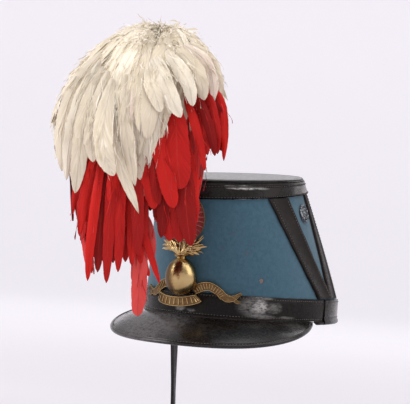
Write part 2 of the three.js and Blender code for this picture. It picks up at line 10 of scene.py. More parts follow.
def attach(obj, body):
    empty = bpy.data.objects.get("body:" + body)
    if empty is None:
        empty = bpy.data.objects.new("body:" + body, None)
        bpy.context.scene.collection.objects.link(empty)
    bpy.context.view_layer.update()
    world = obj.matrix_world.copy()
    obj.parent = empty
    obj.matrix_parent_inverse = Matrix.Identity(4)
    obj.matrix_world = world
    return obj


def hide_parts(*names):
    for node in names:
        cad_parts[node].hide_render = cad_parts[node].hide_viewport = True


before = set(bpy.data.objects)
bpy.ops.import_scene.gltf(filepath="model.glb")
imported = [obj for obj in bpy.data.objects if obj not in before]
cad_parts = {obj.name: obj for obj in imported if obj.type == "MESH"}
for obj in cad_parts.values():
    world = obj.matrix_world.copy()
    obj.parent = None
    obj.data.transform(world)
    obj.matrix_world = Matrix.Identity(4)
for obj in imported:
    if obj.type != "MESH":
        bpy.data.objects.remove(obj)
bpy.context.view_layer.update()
print("frame loaded")

mm = 0.001


def mix(first, second, share):
    return first + (second - first) * share


def clamp(value, low=0.0, high=1.0):
    return max(low, min(high, value))


def ease(value):
    share = clamp(value)
    return share * share * (3 - 2 * share)


# the body's form: turn is in degrees from the front towards the wearer's left, level is 0 at the lower
# edge, 1 where the upright stretch ends and 2 at the top edge
body = {
    "baseLength": 200.8 * mm, "baseWidth": 167.8 * mm, "topLength": 156.4 * mm, "topWidth": 118.6 * mm,
    "topForward": 39 * mm, "frontHeight": 117.6 * mm, "rearHeight": 130.6 * mm, "wall": 2.6 * mm,
    "frontBand": 20.9 * mm, "rearBand": 18.8 * mm, "topBandFront": 15.8 * mm, "topBandRear": 10.9 * mm,
    "gap": 0.3 * mm,
}


def tilted(front, rear, turn):
    return (front + rear) / 2 + (front - rear) / 2 * math.cos(math.radians(turn))


def bendHeight(turn):
    return tilted(body["frontBand"], body["rearBand"], turn)


def topHeight(turn):
    return tilted(body["frontHeight"], body["rearHeight"], turn)


def topBandHeight(turn):
    front = body["frontHeight"] - body["topBandFront"]
    return tilted(front, body["rearHeight"] - body["topBandRear"], turn)


def wallFace(turn, level):
    sine, cosine = math.sin(math.radians(turn)), math.cos(math.radians(turn))
    low, high = min(level, 1), max(level - 1, 0)
    bottom = Vector((body["baseWidth"] / 2 * sine, -body["baseLength"] / 2 * cosine, low * bendHeight(turn)))
    top = Vector((body["topWidth"] / 2 * sine, -body["topForward"] - body["topLength"] / 2 * cosine,
                  topHeight(turn)))
    return bottom.lerp(top, high)


def wallNormal(turn, level):
    along = wallFace(turn + 1, level) - wallFace(turn - 1, level)
    up = wallFace(turn, level + 0.02) - wallFace(turn, level - 0.02)
    return along.cross(up).normalized()


def onWall(turn, level, out):
    face, normal = wallFace(turn, level), wallNormal(turn, level)
    if level < 2:
        return face + normal * out
    point = face + normal * (out / (normal.x ** 2 + normal.y ** 2))
    share = (point.y + body["topForward"]) / body["topLength"] + 0.5
    point.z = mix(body["frontHeight"], body["rearHeight"], share)
    return point


def levelAt(turn, height):
    bend = bendHeight(turn)
    return height / bend if height < bend else 1 + (height - bend) / (topHeight(turn) - bend)


def atHeight(turn, height, out):
    belowTop = 1.9999
    return onWall(turn, min(levelAt(turn, height), belowTop), out)


def wallPlace(turn, height, out):
    level = levelAt(turn, height)
    outward = wallNormal(turn, level)
    across = (wallFace(turn + 1, level) - wallFace(turn - 1, level)).normalized()
    upward = outward.cross(across).normalized()
    place = Matrix((across, upward, outward)).transposed().to_4x4()
    place.translation = onWall(turn, level, out)
    return place


# how each surface waves: the pace of its noise along a metre, and how deep it goes
waves = {
    "cloth": (30, 0.25 * mm), "disc": (26, 0.35 * mm), "topBand": (45, 0.22 * mm),
    "frontBand": (50, 0.2 * mm), "raggedEdge": (160, 0.35 * mm), "rearBand": (40, 0.3 * mm),
    "strip": (60, 0.25 * mm), "stripEdge": (130, 0.025), "peak": (28, 0.35 * mm), "fluff": (90, 3 * mm),
}
# how many steps each piece is swept or spun in
counts = {
    "cloth": 180, "disc": 160, "topBand": 200, "lowBands": 120, "tail": 12, "strip": 60, "peak": 150,
    "vent": 48, "boss": 20, "petal": 6, "ringlet": 12, "gilt": 240, "button": 32, "tongue": 12, "web": 6,
    "scroll": 40, "rib": 6, "strap": 420, "core": 64, "wire": 120, "floor": 64,
}


def rough(point, surface):
    pace, depth = waves[surface]
    return noise.noise(point * pace) * depth


# shader maths: a wire is a node's output, and an expression on wires adds the Math nodes
class Wire:
    def __init__(self, finish, socket):
        self.finish = finish
        self.socket = socket

    def maths(self, operation, *values):
        return self.finish.node("ShaderNodeMath", {"operation": operation}, dict(enumerate(values)))

    def __add__(self, other):
        return self.maths("ADD", self, other)

    def __radd__(self, other):
        return self.maths("ADD", other, self)

    def __sub__(self, other):
        return self.maths("SUBTRACT", self, other)

    def __rsub__(self, other):
        return self.maths("SUBTRACT", other, self)

    def __mul__(self, other):
        return self.maths("MULTIPLY", self, other)

    def __rmul__(self, other):
        return self.maths("MULTIPLY", other, self)

    def __pow__(self, other):
        return self.maths("POWER", self, other)

    def __abs__(self):
        return self.maths("ABSOLUTE", self)


class Finish:
    def __init__(self, name, fixed):
        self.material = bpy.data.materials.new(name)
        self.material.use_nodes = True
        self.tree = self.material.node_tree
        self.shader = self.tree.nodes["Principled BSDF"]
        for socket, value in fixed.items():
            self.shader.inputs[socket].default_value = value

    def node(self, kind, settings=None, sockets=None, output=0):
        made = self.tree.nodes.new(kind)
        for key, value in (settings or {}).items():
            setattr(made, key, value)
        for key, value in (sockets or {}).items():
            if isinstance(value, Wire):
                self.tree.links.new(value.socket, made.inputs[key])
            else:
                made.inputs[key].default_value = value
        return Wire(self, made.outputs[output])

    def feed(self, socket, wire):
        self.tree.links.new(wire.socket, self.shader.inputs[socket])

    def place(self):
        return self.node("ShaderNodeTexCoord", output=3)

    def stretched(self, vector, scale):
        return self.node("ShaderNodeVectorMath", {"operation": "MULTIPLY"}, {0: vector, 1: scale})

    def cloud(self, vector, scale, detail=2, roughness=0.5):
        return self.node("ShaderNodeTexNoise", None,
                         {"Vector": vector, "Scale": scale, "Detail": detail, "Roughness": roughness})

    def cells(self, vector, scale):
        return self.node("ShaderNodeTexVoronoi", {"feature": "F1"}, {"Vector": vector, "Scale": scale})

    def step(self, value, low, high):
        return self.node("ShaderNodeMapRange", {"interpolation_type": "SMOOTHSTEP"},
                         {0: value, 1: low, 2: high})

    def near(self, vector, centre, size, wobble):
        reach = self.node("ShaderNodeVectorMath", {"operation": "DISTANCE"}, {0: vector, 1: centre}, 1)
        return 1 - self.step(reach + wobble, size * 0.3, size)

    def blend(self, share, first, second):
        return self.node("ShaderNodeMix", {"data_type": "RGBA"}, {0: share, 6: first, 7: second}, 2)

    def split(self, vector):
        apart = self.node("ShaderNodeSeparateXYZ", None, {0: vector}).socket.node
        return [Wire(self, socket) for socket in apart.outputs]

    def carried(self, name):
        return self.node("ShaderNodeAttribute", {"attribute_name": name}, output=2)

    def relief(self, height, distance):
        self.feed("Normal", self.node("ShaderNodeBump", None, {"Height": height, "Distance": distance}))


def rgb(red, green, blue):
    return (red, green, blue, 1.0)


# modelling: a section is swept or spun, then each vertex is moved to its place on the shako
def warp(bm, place):
    for vertex in bm.verts:
        vertex.co = place(vertex.co)
    bm.normal_update()
    return bm


def roundSection(sides):
    return [(math.cos(k / sides * math.tau), math.sin(k / sides * math.tau)) for k in range(sides)]


def sweep(section, steps, place):
    # place turns the share of the way and the section's two values into a point
    bm = bmesh.new()
    ring = [bm.verts.new((first, second, 0)) for first, second in section]
    edges = [bm.edges.new(pair) for pair in zip(ring, ring[1:] + ring[:1])]
    bmesh.ops.spin(bm, geom=ring + edges, cent=(0, 0, 0), axis=(0, 0, 1), angle=0, steps=steps,
                   dvec=(0, 0, 1 / steps))
    bmesh.ops.holes_fill(bm, edges=[edge for edge in bm.edges if edge.is_boundary], sides=0)
    across = bm.verts.layers.float.new("across")
    for vertex in bm.verts:
        vertex[across] = vertex.co.x
    warp(bm, lambda co: place(co.z, co.x, co.y))
    bmesh.ops.recalc_face_normals(bm, faces=bm.faces)
    return bm


def hoop(section, steps, place):
    # place turns an angle in degrees and the section's two values into a point
    circle = 1.0
    bm = bmesh.new()
    ring = [bm.verts.new((0, out - circle, up)) for out, up in section]
    edges = [bm.edges.new(pair) for pair in zip(ring, ring[1:] + ring[:1])]
    bmesh.ops.spin(bm, geom=ring + edges, cent=(0, 0, 0), axis=(0, 0, 1), angle=math.tau, steps=steps,
                   use_merge=True)
    bmesh.ops.remove_doubles(bm, verts=bm.verts, dist=1e-6)

    def moved(co):
        turn = math.degrees(math.atan2(co.x, -co.y))
        return place(turn, circle - math.hypot(co.x, co.y), co.z)

    warp(bm, moved)
    bmesh.ops.recalc_face_normals(bm, faces=bm.faces)
    return bm


def turned(profile, steps, place, wide=1, tall=1):
    bm = bmesh.new()
    line = [bm.verts.new((radius * wide, 0, height * tall)) for radius, height in profile]
    edges = [bm.edges.new(pair) for pair in zip(line, line[1:])]
    bmesh.ops.spin(bm, geom=line + edges, cent=(0, 0, 0), axis=(0, 0, 1), angle=math.tau, steps=steps,
                   use_merge=True)
    bmesh.ops.remove_doubles(bm, verts=bm.verts, dist=1e-7)
    carried = bm.verts.layers.float.new("reach")
    for vertex in bm.verts:
        vertex[carried] = math.hypot(vertex.co.x, vertex.co.y)
    warp(bm, place)
    bmesh.ops.recalc_face_normals(bm, faces=bm.faces)
    return bm


def joined(parts):
    whole = bmesh.new()
    for part in parts:
        mesh = bpy.data.meshes.new("part")
        part.to_mesh(mesh)
        part.free()
        whole.from_mesh(mesh)
        bpy.data.meshes.remove(mesh)
    return whole


def piece(name, bm, finishes, slot, nodes=(), sharp=40):
    mesh = bpy.data.meshes.new(name)
    bm.to_mesh(mesh)
    bm.free()
    for finish in finishes:
        mesh.materials.append(finish.material)
    mesh.shade_smooth()
    mesh.set_sharp_from_angle(angle=math.radians(sharp))
    obj = bpy.data.objects.new(name, mesh)
    bpy.context.scene.collection.objects.link(obj)
    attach(obj, "root")
    if nodes:
        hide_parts(*nodes)
    print("made", name, len(mesh.polygons), "faces")
    return obj


def setTarnishAndShade(bm, value):
    # tarnish in the hollows, and painted shade and reflection on the ball: value is a number, or gives one
    # for each vertex
    carried = bm.verts.layers.float.new("tarnishAndShadeLevel")
    for vertex in bm.verts:
        vertex[carried] = value(vertex) if callable(value) else value
    return bm


def smoothThrough(points, count):
    # an even curve through all the points
    padded = [points[0] * 2 - points[1]] + list(points) + [points[-1] * 2 - points[-2]]
    line = []
    for i in range(count + 1):
        at = min(i / count * (len(points) - 1), len(points) - 1 - 1e-9)
        k, t = int(at), at - int(at)
        a, b, c, d = padded[k:k + 4]
        line.append((b * 2 + (c - a) * t + (a * 2 - b * 5 + c * 4 - d) * t * t
                     + (b * 3 - a - c * 3 + d) * t ** 3) * 0.5)
    return line


# finishes
cloth = {
    "colour": rgb(0.047, 0.107, 0.146), "dark": rgb(0.039, 0.092, 0.126), "pale": rgb(0.055, 0.121, 0.163),
    "stain": rgb(0.12, 0.06, 0.09), "tan": rgb(0.18, 0.14, 0.13),
    "stains": [(33, 73.5, 3.2), (40, 58, 3.6), (25, 60, 1.8), (52, 78, 1.8)], "tear": (46, 34.4, 2.7),
}


def clothFinish():
    felt = Finish("blueFelt", {"Roughness": 0.95, "Sheen Weight": 0.25, "Sheen Roughness": 0.5,
                               "Specular IOR Level": 0.2})
    place = felt.place()
    nap, mottle = felt.cloud(place, 1500, 3), felt.cloud(place, 260, 4, 0.65)
    drift = felt.cloud(place, 22, 2)
    colour = felt.blend(felt.step(mottle, 0.32, 0.68), cloth["dark"], cloth["pale"])
    colour = felt.blend(felt.step(nap, 0.3, 0.7) * 0.5, colour, cloth["colour"])
    colour = felt.blend(felt.step(drift, 0.35, 0.7) * 0.2, colour, cloth["pale"])
    wobble = (felt.cloud(place, 420, 3) - 0.5) * (6 * mm)
    for turn, height, size in cloth["stains"]:
        spot = felt.near(place, atHeight(turn, height * mm, 0), size * mm, wobble)
        spot = spot * felt.step(abs(mottle - 0.5), 0.02, 0.09)
        colour = felt.blend(spot * 0.45, colour, cloth["stain"])
    turn, height, size = cloth["tear"]
    centre = atHeight(turn, height * mm, 0)
    tear = felt.near(place, centre, size * mm, wobble * 0.8)
    colour = felt.blend(felt.step(tear, 0.0, 0.3) * 0.7, colour, rgb(0.02, 0.03, 0.04))
    tear = felt.step(tear, 0.35, 0.6)
    colour = felt.blend(tear, colour, cloth["tan"])
    felt.feed("Base Color", colour)
    felt.relief(nap * 0.5 + mottle * 0.5 - tear * 1.5, 0.35 * mm)
    return felt


def leatherFinish(name, look, highlightSpots=()):
    # spots are painted highlights and reflections of the lights: (point, size in mm, how flat, amount).
    # Highlight patches say a turn and a height in mm for the point
    highlightSpots = list(highlightSpots) + [(atHeight(turn, high * mm, 1.5 * mm), size, flat, amount)
                           for turn, high, size, flat, amount in look.get("highlightPatches", [])]
    hide = Finish(name, {"Coat Weight": look["coat"], "Coat Roughness": look["coatRough"],
                         "Specular IOR Level": look["shine"]})
    place = hide.place()
    broad, fine = hide.cloud(place, 38, 4, 0.6), hide.cloud(place, 320, 4, 0.65)
    grain = hide.cells(place, 900)
    wear = hide.step(broad * 0.6 + fine * 0.4, 0.48, 0.66)
    colour = hide.blend(wear, look["dark"], look["worn"])
    scuffs = hide.step(hide.cloud(hide.stretched(place, (1, 1, 5)), 190, 5, 0.7), 0.6, 0.72)
    colour = hide.blend(scuffs * look["scuff"], colour, look["scuffed"])
    low, spread, wearing = look["rough"]
    sheen = hide.step(fine, 0.35, 0.7) * spread + low + wear * wearing
    height = grain * 0.25 + fine * 0.4 + broad * 0.6
    wobble = (hide.cloud(hide.stretched(place, (1, 1, 3)), 140, 5, 0.75) - 0.5) * (9 * mm)
    breaks = hide.step(hide.cloud(hide.stretched(place, (1, 1, 2.5)), 260, 5, 0.75), 0.28, 0.62)
    # each spot paints a highlight: the colour goes towards the pale highlight colour and the leather turns a
    # little smoother
    for point, size, flat, amount in highlightSpots:
        scale = Vector((1, 1, flat))
        spot = hide.near(hide.stretched(place, scale), point * scale, size * mm, wobble)
        spot = spot * breaks
        colour = hide.blend(spot * amount, colour, look["highlightColour"])
        sheen = sheen - spot * 0.1
    hide.feed("Base Color", colour)
    hide.feed("Roughness", sheen)
    hide.relief(height, look["relief"])
    return hide


# rough is the least roughness, what the grain adds and what wear adds
# where a look has a highlight colour and patches, these are painted highlights of the lights: turn, height
# in mm, size in mm, how flat, amount
leatherLooks = {
    "band": {
        "coat": 0.06, "coatRough": 0.18, "shine": 0.1, "rough": (0.2, 0.22, 0.2), "relief": 0.35 * mm,
        "dark": rgb(0.006, 0.005, 0.004), "worn": rgb(0.014, 0.011, 0.009),
        "scuffed": rgb(0.05, 0.043, 0.04), "scuff": 0.35, "highlightColour": rgb(0.5, 0.48, 0.46),
        # painted highlights on the lower bands, front and rear
        "highlightPatches": [
            (43.5, 11.5, 9, 1.2, 0.95), (40, 11.5, 19, 1.7, 0.32), (52, 11, 10, 1.6, 0.3),
            (45, 3.2, 16, 6, 0.35), (60, 3.2, 12, 8, 0.3), (-4, 5.5, 7, 2.4, 0.55), (4, 4.6, 6, 3, 0.4),
            (46, 19.2, 12, 7, 0.4), (106, 9, 22, 1, 0.2), (118, 9, 20, 1, 0.15),
        ],
    },
    "top": {
        "coat": 0.08, "coatRough": 0.2, "shine": 0.14, "rough": (0.22, 0.2, 0.2), "relief": 0.35 * mm,
        "dark": rgb(0.009, 0.007, 0.0055), "worn": rgb(0.02, 0.016, 0.013),
        "scuffed": rgb(0.055, 0.047, 0.043), "scuff": 0.35, "highlightColour": rgb(0.6, 0.58, 0.56),
        # painted highlights on the top band's ridge and rear
        "highlightPatches": [
            (40, 114.2, 13, 6, 0.75), (48, 114.8, 12, 5, 0.95), (58, 115.4, 13, 7, 0.6),
            (46, 103.8, 13, 7, 0.55), (60, 105.2, 13, 7, 0.5), (98, 112, 18, 1, 0.2),
            (112, 115, 16, 1, 0.25),
        ],
    },
    "disc": {
        "coat": 0.3, "coatRough": 0.3, "shine": 0.45, "rough": (0.3, 0.12, 0.1), "relief": 0.08 * mm,
        "dark": rgb(0.03, 0.027, 0.026), "worn": rgb(0.06, 0.054, 0.052),
        "scuffed": rgb(0.12, 0.11, 0.105), "scuff": 0.3,
    },
    "chevron": {
        "coat": 0.04, "coatRough": 0.35, "shine": 0.12, "rough": (0.34, 0.25, 0.15), "relief": 0.4 * mm,
        "dark": rgb(0.012, 0.009, 0.0075), "worn": rgb(0.03, 0.023, 0.019),
        "scuffed": rgb(0.09, 0.075, 0.068), "scuff": 0.35,
    },
    "peak": {
        "coat": 0.32, "coatRough": 0.16, "shine": 0.25, "rough": (0.18, 0.16, 0.16), "relief": 0.2 * mm,
        "dark": rgb(0.008, 0.0065, 0.0055), "worn": rgb(0.017, 0.014, 0.012),
        # the grey after the scuffs is the colour of the painted reflections on the peak
        "scuffed": rgb(0.05, 0.03, 0.022), "scuff": 0.3, "highlightColour": rgb(0.24, 0.22, 0.225),
    },
    "strap": {
        "coat": 0.05, "coatRough": 0.4, "shine": 0.3, "rough": (0.4, 0.25, 0.1), "relief": 0.3 * mm,
        "dark": rgb(0.012, 0.011, 0.0105), "worn": rgb(0.034, 0.029, 0.026),
        "scuffed": rgb(0.09, 0.078, 0.072), "scuff": 0.4,
    },
}
blueFelt = clothFinish()
bandHide = leatherFinish("bandLeather", leatherLooks["band"])
topHide = leatherFinish("topLeather", leatherLooks["top"])
chevronHide = leatherFinish("chevronLeather", leatherLooks["chevron"])
discHide = leatherFinish("discLeather", leatherLooks["disc"])
strapHide = leatherFinish("strapLeather", leatherLooks["strap"])


def threadFinish():
    thread = Finish("waxedThread", {"Roughness": 0.7})
    shade = thread.cloud(thread.place(), 500, 2)
    thread.feed("Base Color", thread.blend(shade, rgb(0.06, 0.05, 0.044), rgb(0.18, 0.155, 0.135)))
    return thread


def liningFinish():
    lining = Finish("blackLining", {"Roughness": 0.85})
    place = lining.place()
    weave = lining.cells(place, 1300)
    worn = lining.cloud(place, 60, 4)
    lining.feed("Base Color", lining.blend(worn, rgb(0.02, 0.018, 0.016), rgb(0.07, 0.055, 0.043)))
    lining.relief(weave, 0.3 * mm)
    return lining


def brassFinish():
    brass = Finish("stampedBrass", {"Metallic": 1.0})
    place = brass.place()
    broad, fine = brass.cloud(place, 55, 4, 0.6), brass.cloud(place, 420, 4, 0.7)
    tarnishAndShadeLevel = brass.carried("tarnishAndShadeLevel")
    colour = brass.blend(brass.step(broad, 0.35, 0.7), rgb(0.5, 0.36, 0.165), rgb(0.42, 0.275, 0.115))
    # darker brass where tarnished in the hollows, and painted shade and reflection on the ball
    tarnishAndShadeMask = brass.step(fine * 0.5 + tarnishAndShadeLevel * 0.9, 0.5, 1.0)
    colour = brass.blend(tarnishAndShadeMask, colour, rgb(0.13, 0.075, 0.035))
    brass.feed("Base Color", colour)
    brass.feed("Roughness", fine * 0.12 + 0.16 + tarnishAndShadeMask * 0.2)
    brass.relief(fine, 0.12 * mm)
    return brass


waxThread = threadFinish()
innerLining = liningFinish()
badgeBrass = brassFinish()
print("finishes ready")


# stitches: small beads of thread along a line on the leather
stitch = {"pitch": 2.7 * mm, "length": 1.9 * mm, "width": 0.7 * mm, "height": 0.45 * mm}


def stitchLine(bm, line):
    # line is a list of (point, normal)
    run = 0.0
    due = stitch["pitch"] / 2
    for (start, normal), (end, _) in zip(line, line[1:]):
        gap = (end - start).length
        while run + gap >= due:
            point = start.lerp(end, (due - run) / gap)
            forward = (end - start).normalized()
            side = normal.cross(forward).normalized()
            lie = Matrix((forward * stitch["length"] / 2, side * stitch["width"] / 2,
                          normal * stitch["height"] / 2)).transposed().to_4x4()
            lie.translation = point
            bmesh.ops.create_icosphere(bm, subdivisions=1, radius=1, matrix=lie)
            due += stitch["pitch"]
        run += gap


# cloth wall
def clothWall():
    rows = 26
    outer = [(0.0, 0.02), (0.0, 0.5)] + [(0.0, 1 + i / rows) for i in range(rows + 1)]
    inner = [(-body["wall"], level) for level in (2, 1.5, 1, 0.5, 0)]
    section = outer + inner + [(-body["wall"] * 0.5, 0)]

    def place(turn, out, level):
        point = onWall(turn, level, 0)
        soft = rough(point, "cloth") if out == 0 and 1 < level < 2 else 0
        return onWall(turn, level, -abs(out) - abs(soft))

    bm = hoop(section, counts["cloth"], place)
    for face in bm.faces:
        middle = face.calc_center_median()
        inward = Vector((0, -body["topForward"] * 0.5, middle.z)) - middle
        if face.normal.dot(inward.normalized()) > 0.3:
            face.material_index = 1
    piece("cloth_wall", bm, [blueFelt, innerLining], "blue_cloth", ["crown_body"])


clothWall()

# leather round the top: the disc, and the band that swells towards the back
topTrim = {"leather": 2.1 * mm, "disc": 1.3 * mm, "dome": 0.7 * mm, "seam": 0.93}


def topThick(turn):
    return topTrim["leather"] * (1 + 0.7 * ease((0.45 - math.cos(math.radians(turn))) / 0.9))


def onTopBand(turn, share, out):
    # offset level with the ground, so that the band keeps under the disc
    level = mix(levelAt(turn, topBandHeight(turn)), 2, share)
    face, normal = wallFace(turn, level), wallNormal(turn, level)
    flat = Vector((normal.x, normal.y, 0))
    point = face + flat * (out / flat.length_squared)
    if share == 1:
        point.z = onWall(turn, 2, out).z
    return point


def crownDisc():
    rise, thick, dome = body["gap"], topTrim["disc"], topTrim["dome"]
    profile = [(0, rise + thick + dome)]
    for share in (0.12, 0.25, 0.4, 0.55, 0.7, 0.8, 0.88, 0.915):
        profile.append((share, rise + thick + dome * (1 - share ** 2.6)))
    profile += [(topTrim["seam"], rise + thick - 0.15 * mm), (0.945, rise + thick + 0.35 * mm),
                (0.965, rise + thick + 0.2 * mm), (0.978, rise + 0.7 * thick), (0.984, rise + 0.35 * thick),
                (0.98, rise), (0.5, rise), (0, rise)]

    def place(co):
        turn, share = math.degrees(math.atan2(co.x, -co.y)), math.hypot(co.x, co.y)
        edge = onWall(turn, 2, topThick(turn) + body["gap"])
        centre = Vector((0, -body["topForward"], (body["frontHeight"] + body["rearHeight"]) / 2))
        point = centre.lerp(edge, share)
        point.z += co.z + (rough(point, "disc") if co.z > rise * 1.5 and share < 0.9 else 0)
        return point

    piece("crown_disc", turned(profile, counts["disc"], place), [discHide], "crown_leather", ["crown_top"])


def topBand():
    section = [(0, 0), (0.55, 0), (0.98, 0.03), (1.06, 0.07), (0.92, 0.105), (1.08, 0.14), (1.13, 0.3),
               (1.14, 0.5), (1.12, 0.66), (0.98, 0.71), (1.07, 0.76), (1.05, 0.83), (1.01, 0.9),
               (0.93, 0.96), (0.8, 1.0), (0, 1.0)]

    def place(turn, out, share):
        wave = rough(onTopBand(turn, share, 0), "topBand") if out > 0.4 and share < 1 else 0
        return onTopBand(turn, share, body["gap"] + out * topThick(turn) + wave)

    bm = hoop(section, counts["topBand"], place)
    piece("top_band_leather", bm, [topHide], "band_leather", ["top_band"])


crownDisc()
topBand()

# lower bands, in front and behind. The front one's foot lies over the peak as far as peakEnd
lowTrim = {
    "leather": 1.3 * mm, "end": 90, "rear": 2.2 * mm, "roll": 3.2 * mm, "inset": 0.1 * mm,
    "overPeak": 0.9 * mm, "peakEnd": 78, "tailStart": 81.5,
}


def bottomBand():
    thick, end = lowTrim["leather"], lowTrim["end"]
    section = [(0, 0), (0.7, 0), (1.0, 0.03), (1.0, 0.075), (0.78, 0.1), (1.0, 0.13), (1.02, 0.3),
               (1.05, 0.5), (1.02, 0.7), (1.0, 0.865), (0.78, 0.895), (1.0, 0.925), (0.9, 0.975),
               (0.5, 1.0), (0, 1.0)]

    def place(share, out, high):
        turn = mix(-end, end, share)
        foot = mix(lowTrim["inset"], -lowTrim["overPeak"], ease((lowTrim["peakEnd"] - abs(turn)) / 6))
        height = mix(foot, bendHeight(turn), high)
        point = atHeight(turn, height, 0)
        wave = rough(point, "frontBand") if out > 0.4 else 0
        ragged = rough(point, "raggedEdge") if high > 0.94 else 0
        return atHeight(turn, height - abs(ragged), body["gap"] + out * thick + wave)

    bm = sweep(section, counts["lowBands"], place)
    for face in bm.faces:
        face.material_index = int(face.normal.z < -0.45)
    piece("front_band_leather", bm, [bandHide, innerLining], "band_leather", ["bottom_band"])


def rearBand():
    start, thick = lowTrim["end"] + 0.06, lowTrim["rear"]
    roll = thick + 1 * mm
    section = [(0, 1), (0.6 * thick, 1), (0.95 * thick, 0.97), (thick, 0.92), (0.88 * thick, 0.885),
               (thick, 0.85), (thick, 0.5), (thick, 0.22), (0.88 * thick, 0.16), (thick, 0.1),
               (0.93 * roll, -0.06), (roll, -0.3), (0.93 * roll, -0.65), (0.6 * roll, -0.93), (0, -1.0),
               (-0.3 * roll, -0.85), (-0.4 * roll, -0.5), (-0.3 * roll, -0.25), (0, -0.12)]

    def place(share, out, up):
        turn = mix(start, 360 - start, share)
        point = onWall(turn, 0, body["gap"] + out)
        height = up * (lowTrim["roll"] if up < 0 else bendHeight(turn))
        wave = rough(point + Vector((0, 0, height)), "rearBand") if out > 0.4 * thick else 0
        point = onWall(turn, 0, body["gap"] + out + wave)
        point.z = height
        return point

    # the roll runs on a little under the front band
    tail = [(0, 0.05), (0.45 * roll, 0.05), (0.8 * roll, -0.2), (0.8 * roll, -0.65), (0.55 * roll, -0.93),
            (0, -1.0), (-0.3 * roll, -0.85), (-0.4 * roll, -0.5), (-0.3 * roll, -0.25)]
    parts = [sweep(section, counts["lowBands"], place)]
    for side in (1, -1):
        def under(share, out, up):
            slim = mix(0.35, 1, ease(share / 0.3))
            point = onWall(side * mix(lowTrim["tailStart"], start + 1, share), 0, body["gap"] + out * slim)
            point.z = up * lowTrim["roll"] * slim
            return point

        parts.append(sweep(tail, counts["tail"], under))
    piece("rear_band_leather", joined(parts), [bandHide], "band_leather", ["rear_band"])


bottomBand()
rearBand()

# side chevrons
chevron = {
    "angle": 97, "head": 22.5, "foot": 5.4, "width": 20 * mm, "thick": 2 * mm, "gap": 0.5 * mm,
    "outer": 0.18, "lap": 0.9 * mm, "lapReach": 0.3,
}


def armAt(side, lean, across, along, out):
    turnFoot = chevron["angle"] + lean * chevron["foot"]
    turnHead = chevron["angle"] + lean * chevron["head"]
    foot = bendHeight(chevron["angle"]) + 2 * body["gap"]
    head = topBandHeight(turnHead) - 2 * body["gap"]
    spread = (atHeight(turnFoot, foot, 0) - atHeight(turnHead, foot, 0)).length
    rise = math.atan2(head - foot, spread)
    turn = mix(turnFoot, turnHead, along)
    girth = (wallFace(turn + 1, 1 + along) - wallFace(turn - 1, 1 + along)).length / 2
    half = chevron["width"] / 2 / girth / math.sin(rise)
    here = turn + mix(-half, half, across)
    height = mix(foot, head + topBandHeight(here) - topBandHeight(turnHead), along)
    return atHeight(side * here, height, out)


def armShare(lean, across):
    return mix(-chevron["outer"], 1, across) if lean < 0 else mix(0, 1 + chevron["outer"], across)


def lapLift(lean, along):
    # the front arm's foot lies over the rear arm's
    return chevron["lap"] * (1 - ease(along / chevron["lapReach"])) if lean < 0 else 0


def chevronPiece(side, name, node):
    # a strip is thicker along its two stitched edges
    half = [(0.0, 0.0), (0.0, 0.6), (0.02, 0.95), (0.06, 1.0), (0.1, 1.0), (0.125, 0.8), (0.15, 1.0),
            (0.19, 0.96), (0.24, 0.62)]
    section = half + [(0.5, 0.56)] + [(1 - across, out) for across, out in reversed(half)]
    parts = []
    for lean in (-1, 1):
        def place(share, across, out):
            lift = lapLift(lean, share) if out > 0 else 0
            point = armAt(side, lean, across, share, 0)
            wave = rough(point, "strip") if out > 0.3 else 0
            edge = rough(point, "stripEdge") if across < 0.05 or across > 0.95 else 0
            return armAt(side, lean, armShare(lean, across) + edge, share,
                         chevron["gap"] + out * chevron["thick"] + lift + wave)

        parts.append(sweep(section, counts["strip"], place))
    piece(name, joined(parts), [chevronHide], "chevron_leather", [node])


chevronPiece(1, "chevron_strips_left", "chevron_left")
chevronPiece(-1, "chevron_strips_right", "chevron_right")

# peak and its binding
peak = {
    "reach": 34.9 * mm, "drop": 23.2 * mm, "end": 84, "thick": 2.2 * mm, "root": 1.5 * mm, "slope": 0.62,
    "binding": 3.2 * mm, "bindingThick": 3.8 * mm,
}


def peakEdge(turn):
    share = min(abs(turn) / peak["end"], 1)
    return peak["reach"] * (1 - share ** 5.4) ** 1.83, peak["drop"] * (1 - share ** 3.46) ** 2.2


def peakFace(turn, out):
    reach, drop = peakEdge(turn)
    share = max(out, 0) / max(reach, lowTrim["leather"])
    point = onWall(turn, 0, out)
    point.z = -body["gap"] - drop * mix(share * share, share, peak["slope"])
    return point


def peakNormal(turn, out):
    along = peakFace(turn + 0.5, out) - peakFace(turn - 0.5, out)
    outward = peakFace(turn, out + 0.5 * mm) - peakFace(turn, out - 0.5 * mm)
    return outward.cross(along).normalized()


def onPeak(turn, out, lift):
    return peakFace(turn, out) + peakNormal(turn, out) * lift


peakHide = leatherFinish("peakLeather", leatherLooks["peak"], [
    # painted reflections of the lights on the peak: turn, reach out in mm, size in mm, amount
    (onPeak(turn, out * mm, 0), size, 1, amount)
    for turn, out, size, amount in ((-14, 16, 46, 0.5), (-46, 12, 40, 0.5), (62, 14, 14, 0.3))
])


def peakPiece():
    end, rows = peak["end"] - 4, 14
    upper = [(i / rows, 0.0) for i in range(rows + 1)]
    lower = [(1 - i / rows, -1.0) for i in range(rows + 1)]

    def place(share, along, lift):
        turn = mix(-end, end, share)
        trim = peak["binding"] + body["gap"]
        out = mix(-peak["root"], max(peakEdge(turn)[0] - trim, lowTrim["leather"]), along)
        point = peakFace(turn, out)
        wave = rough(point, "peak") * ease(along * 3) * ease((1 - along) * 6)
        return onPeak(turn, out, lift * peak["thick"] + wave)

    bm = sweep(upper + lower, counts["peak"], place)
    piece("peak_leather", bm, [peakHide], "peak_leather", ["peak"])


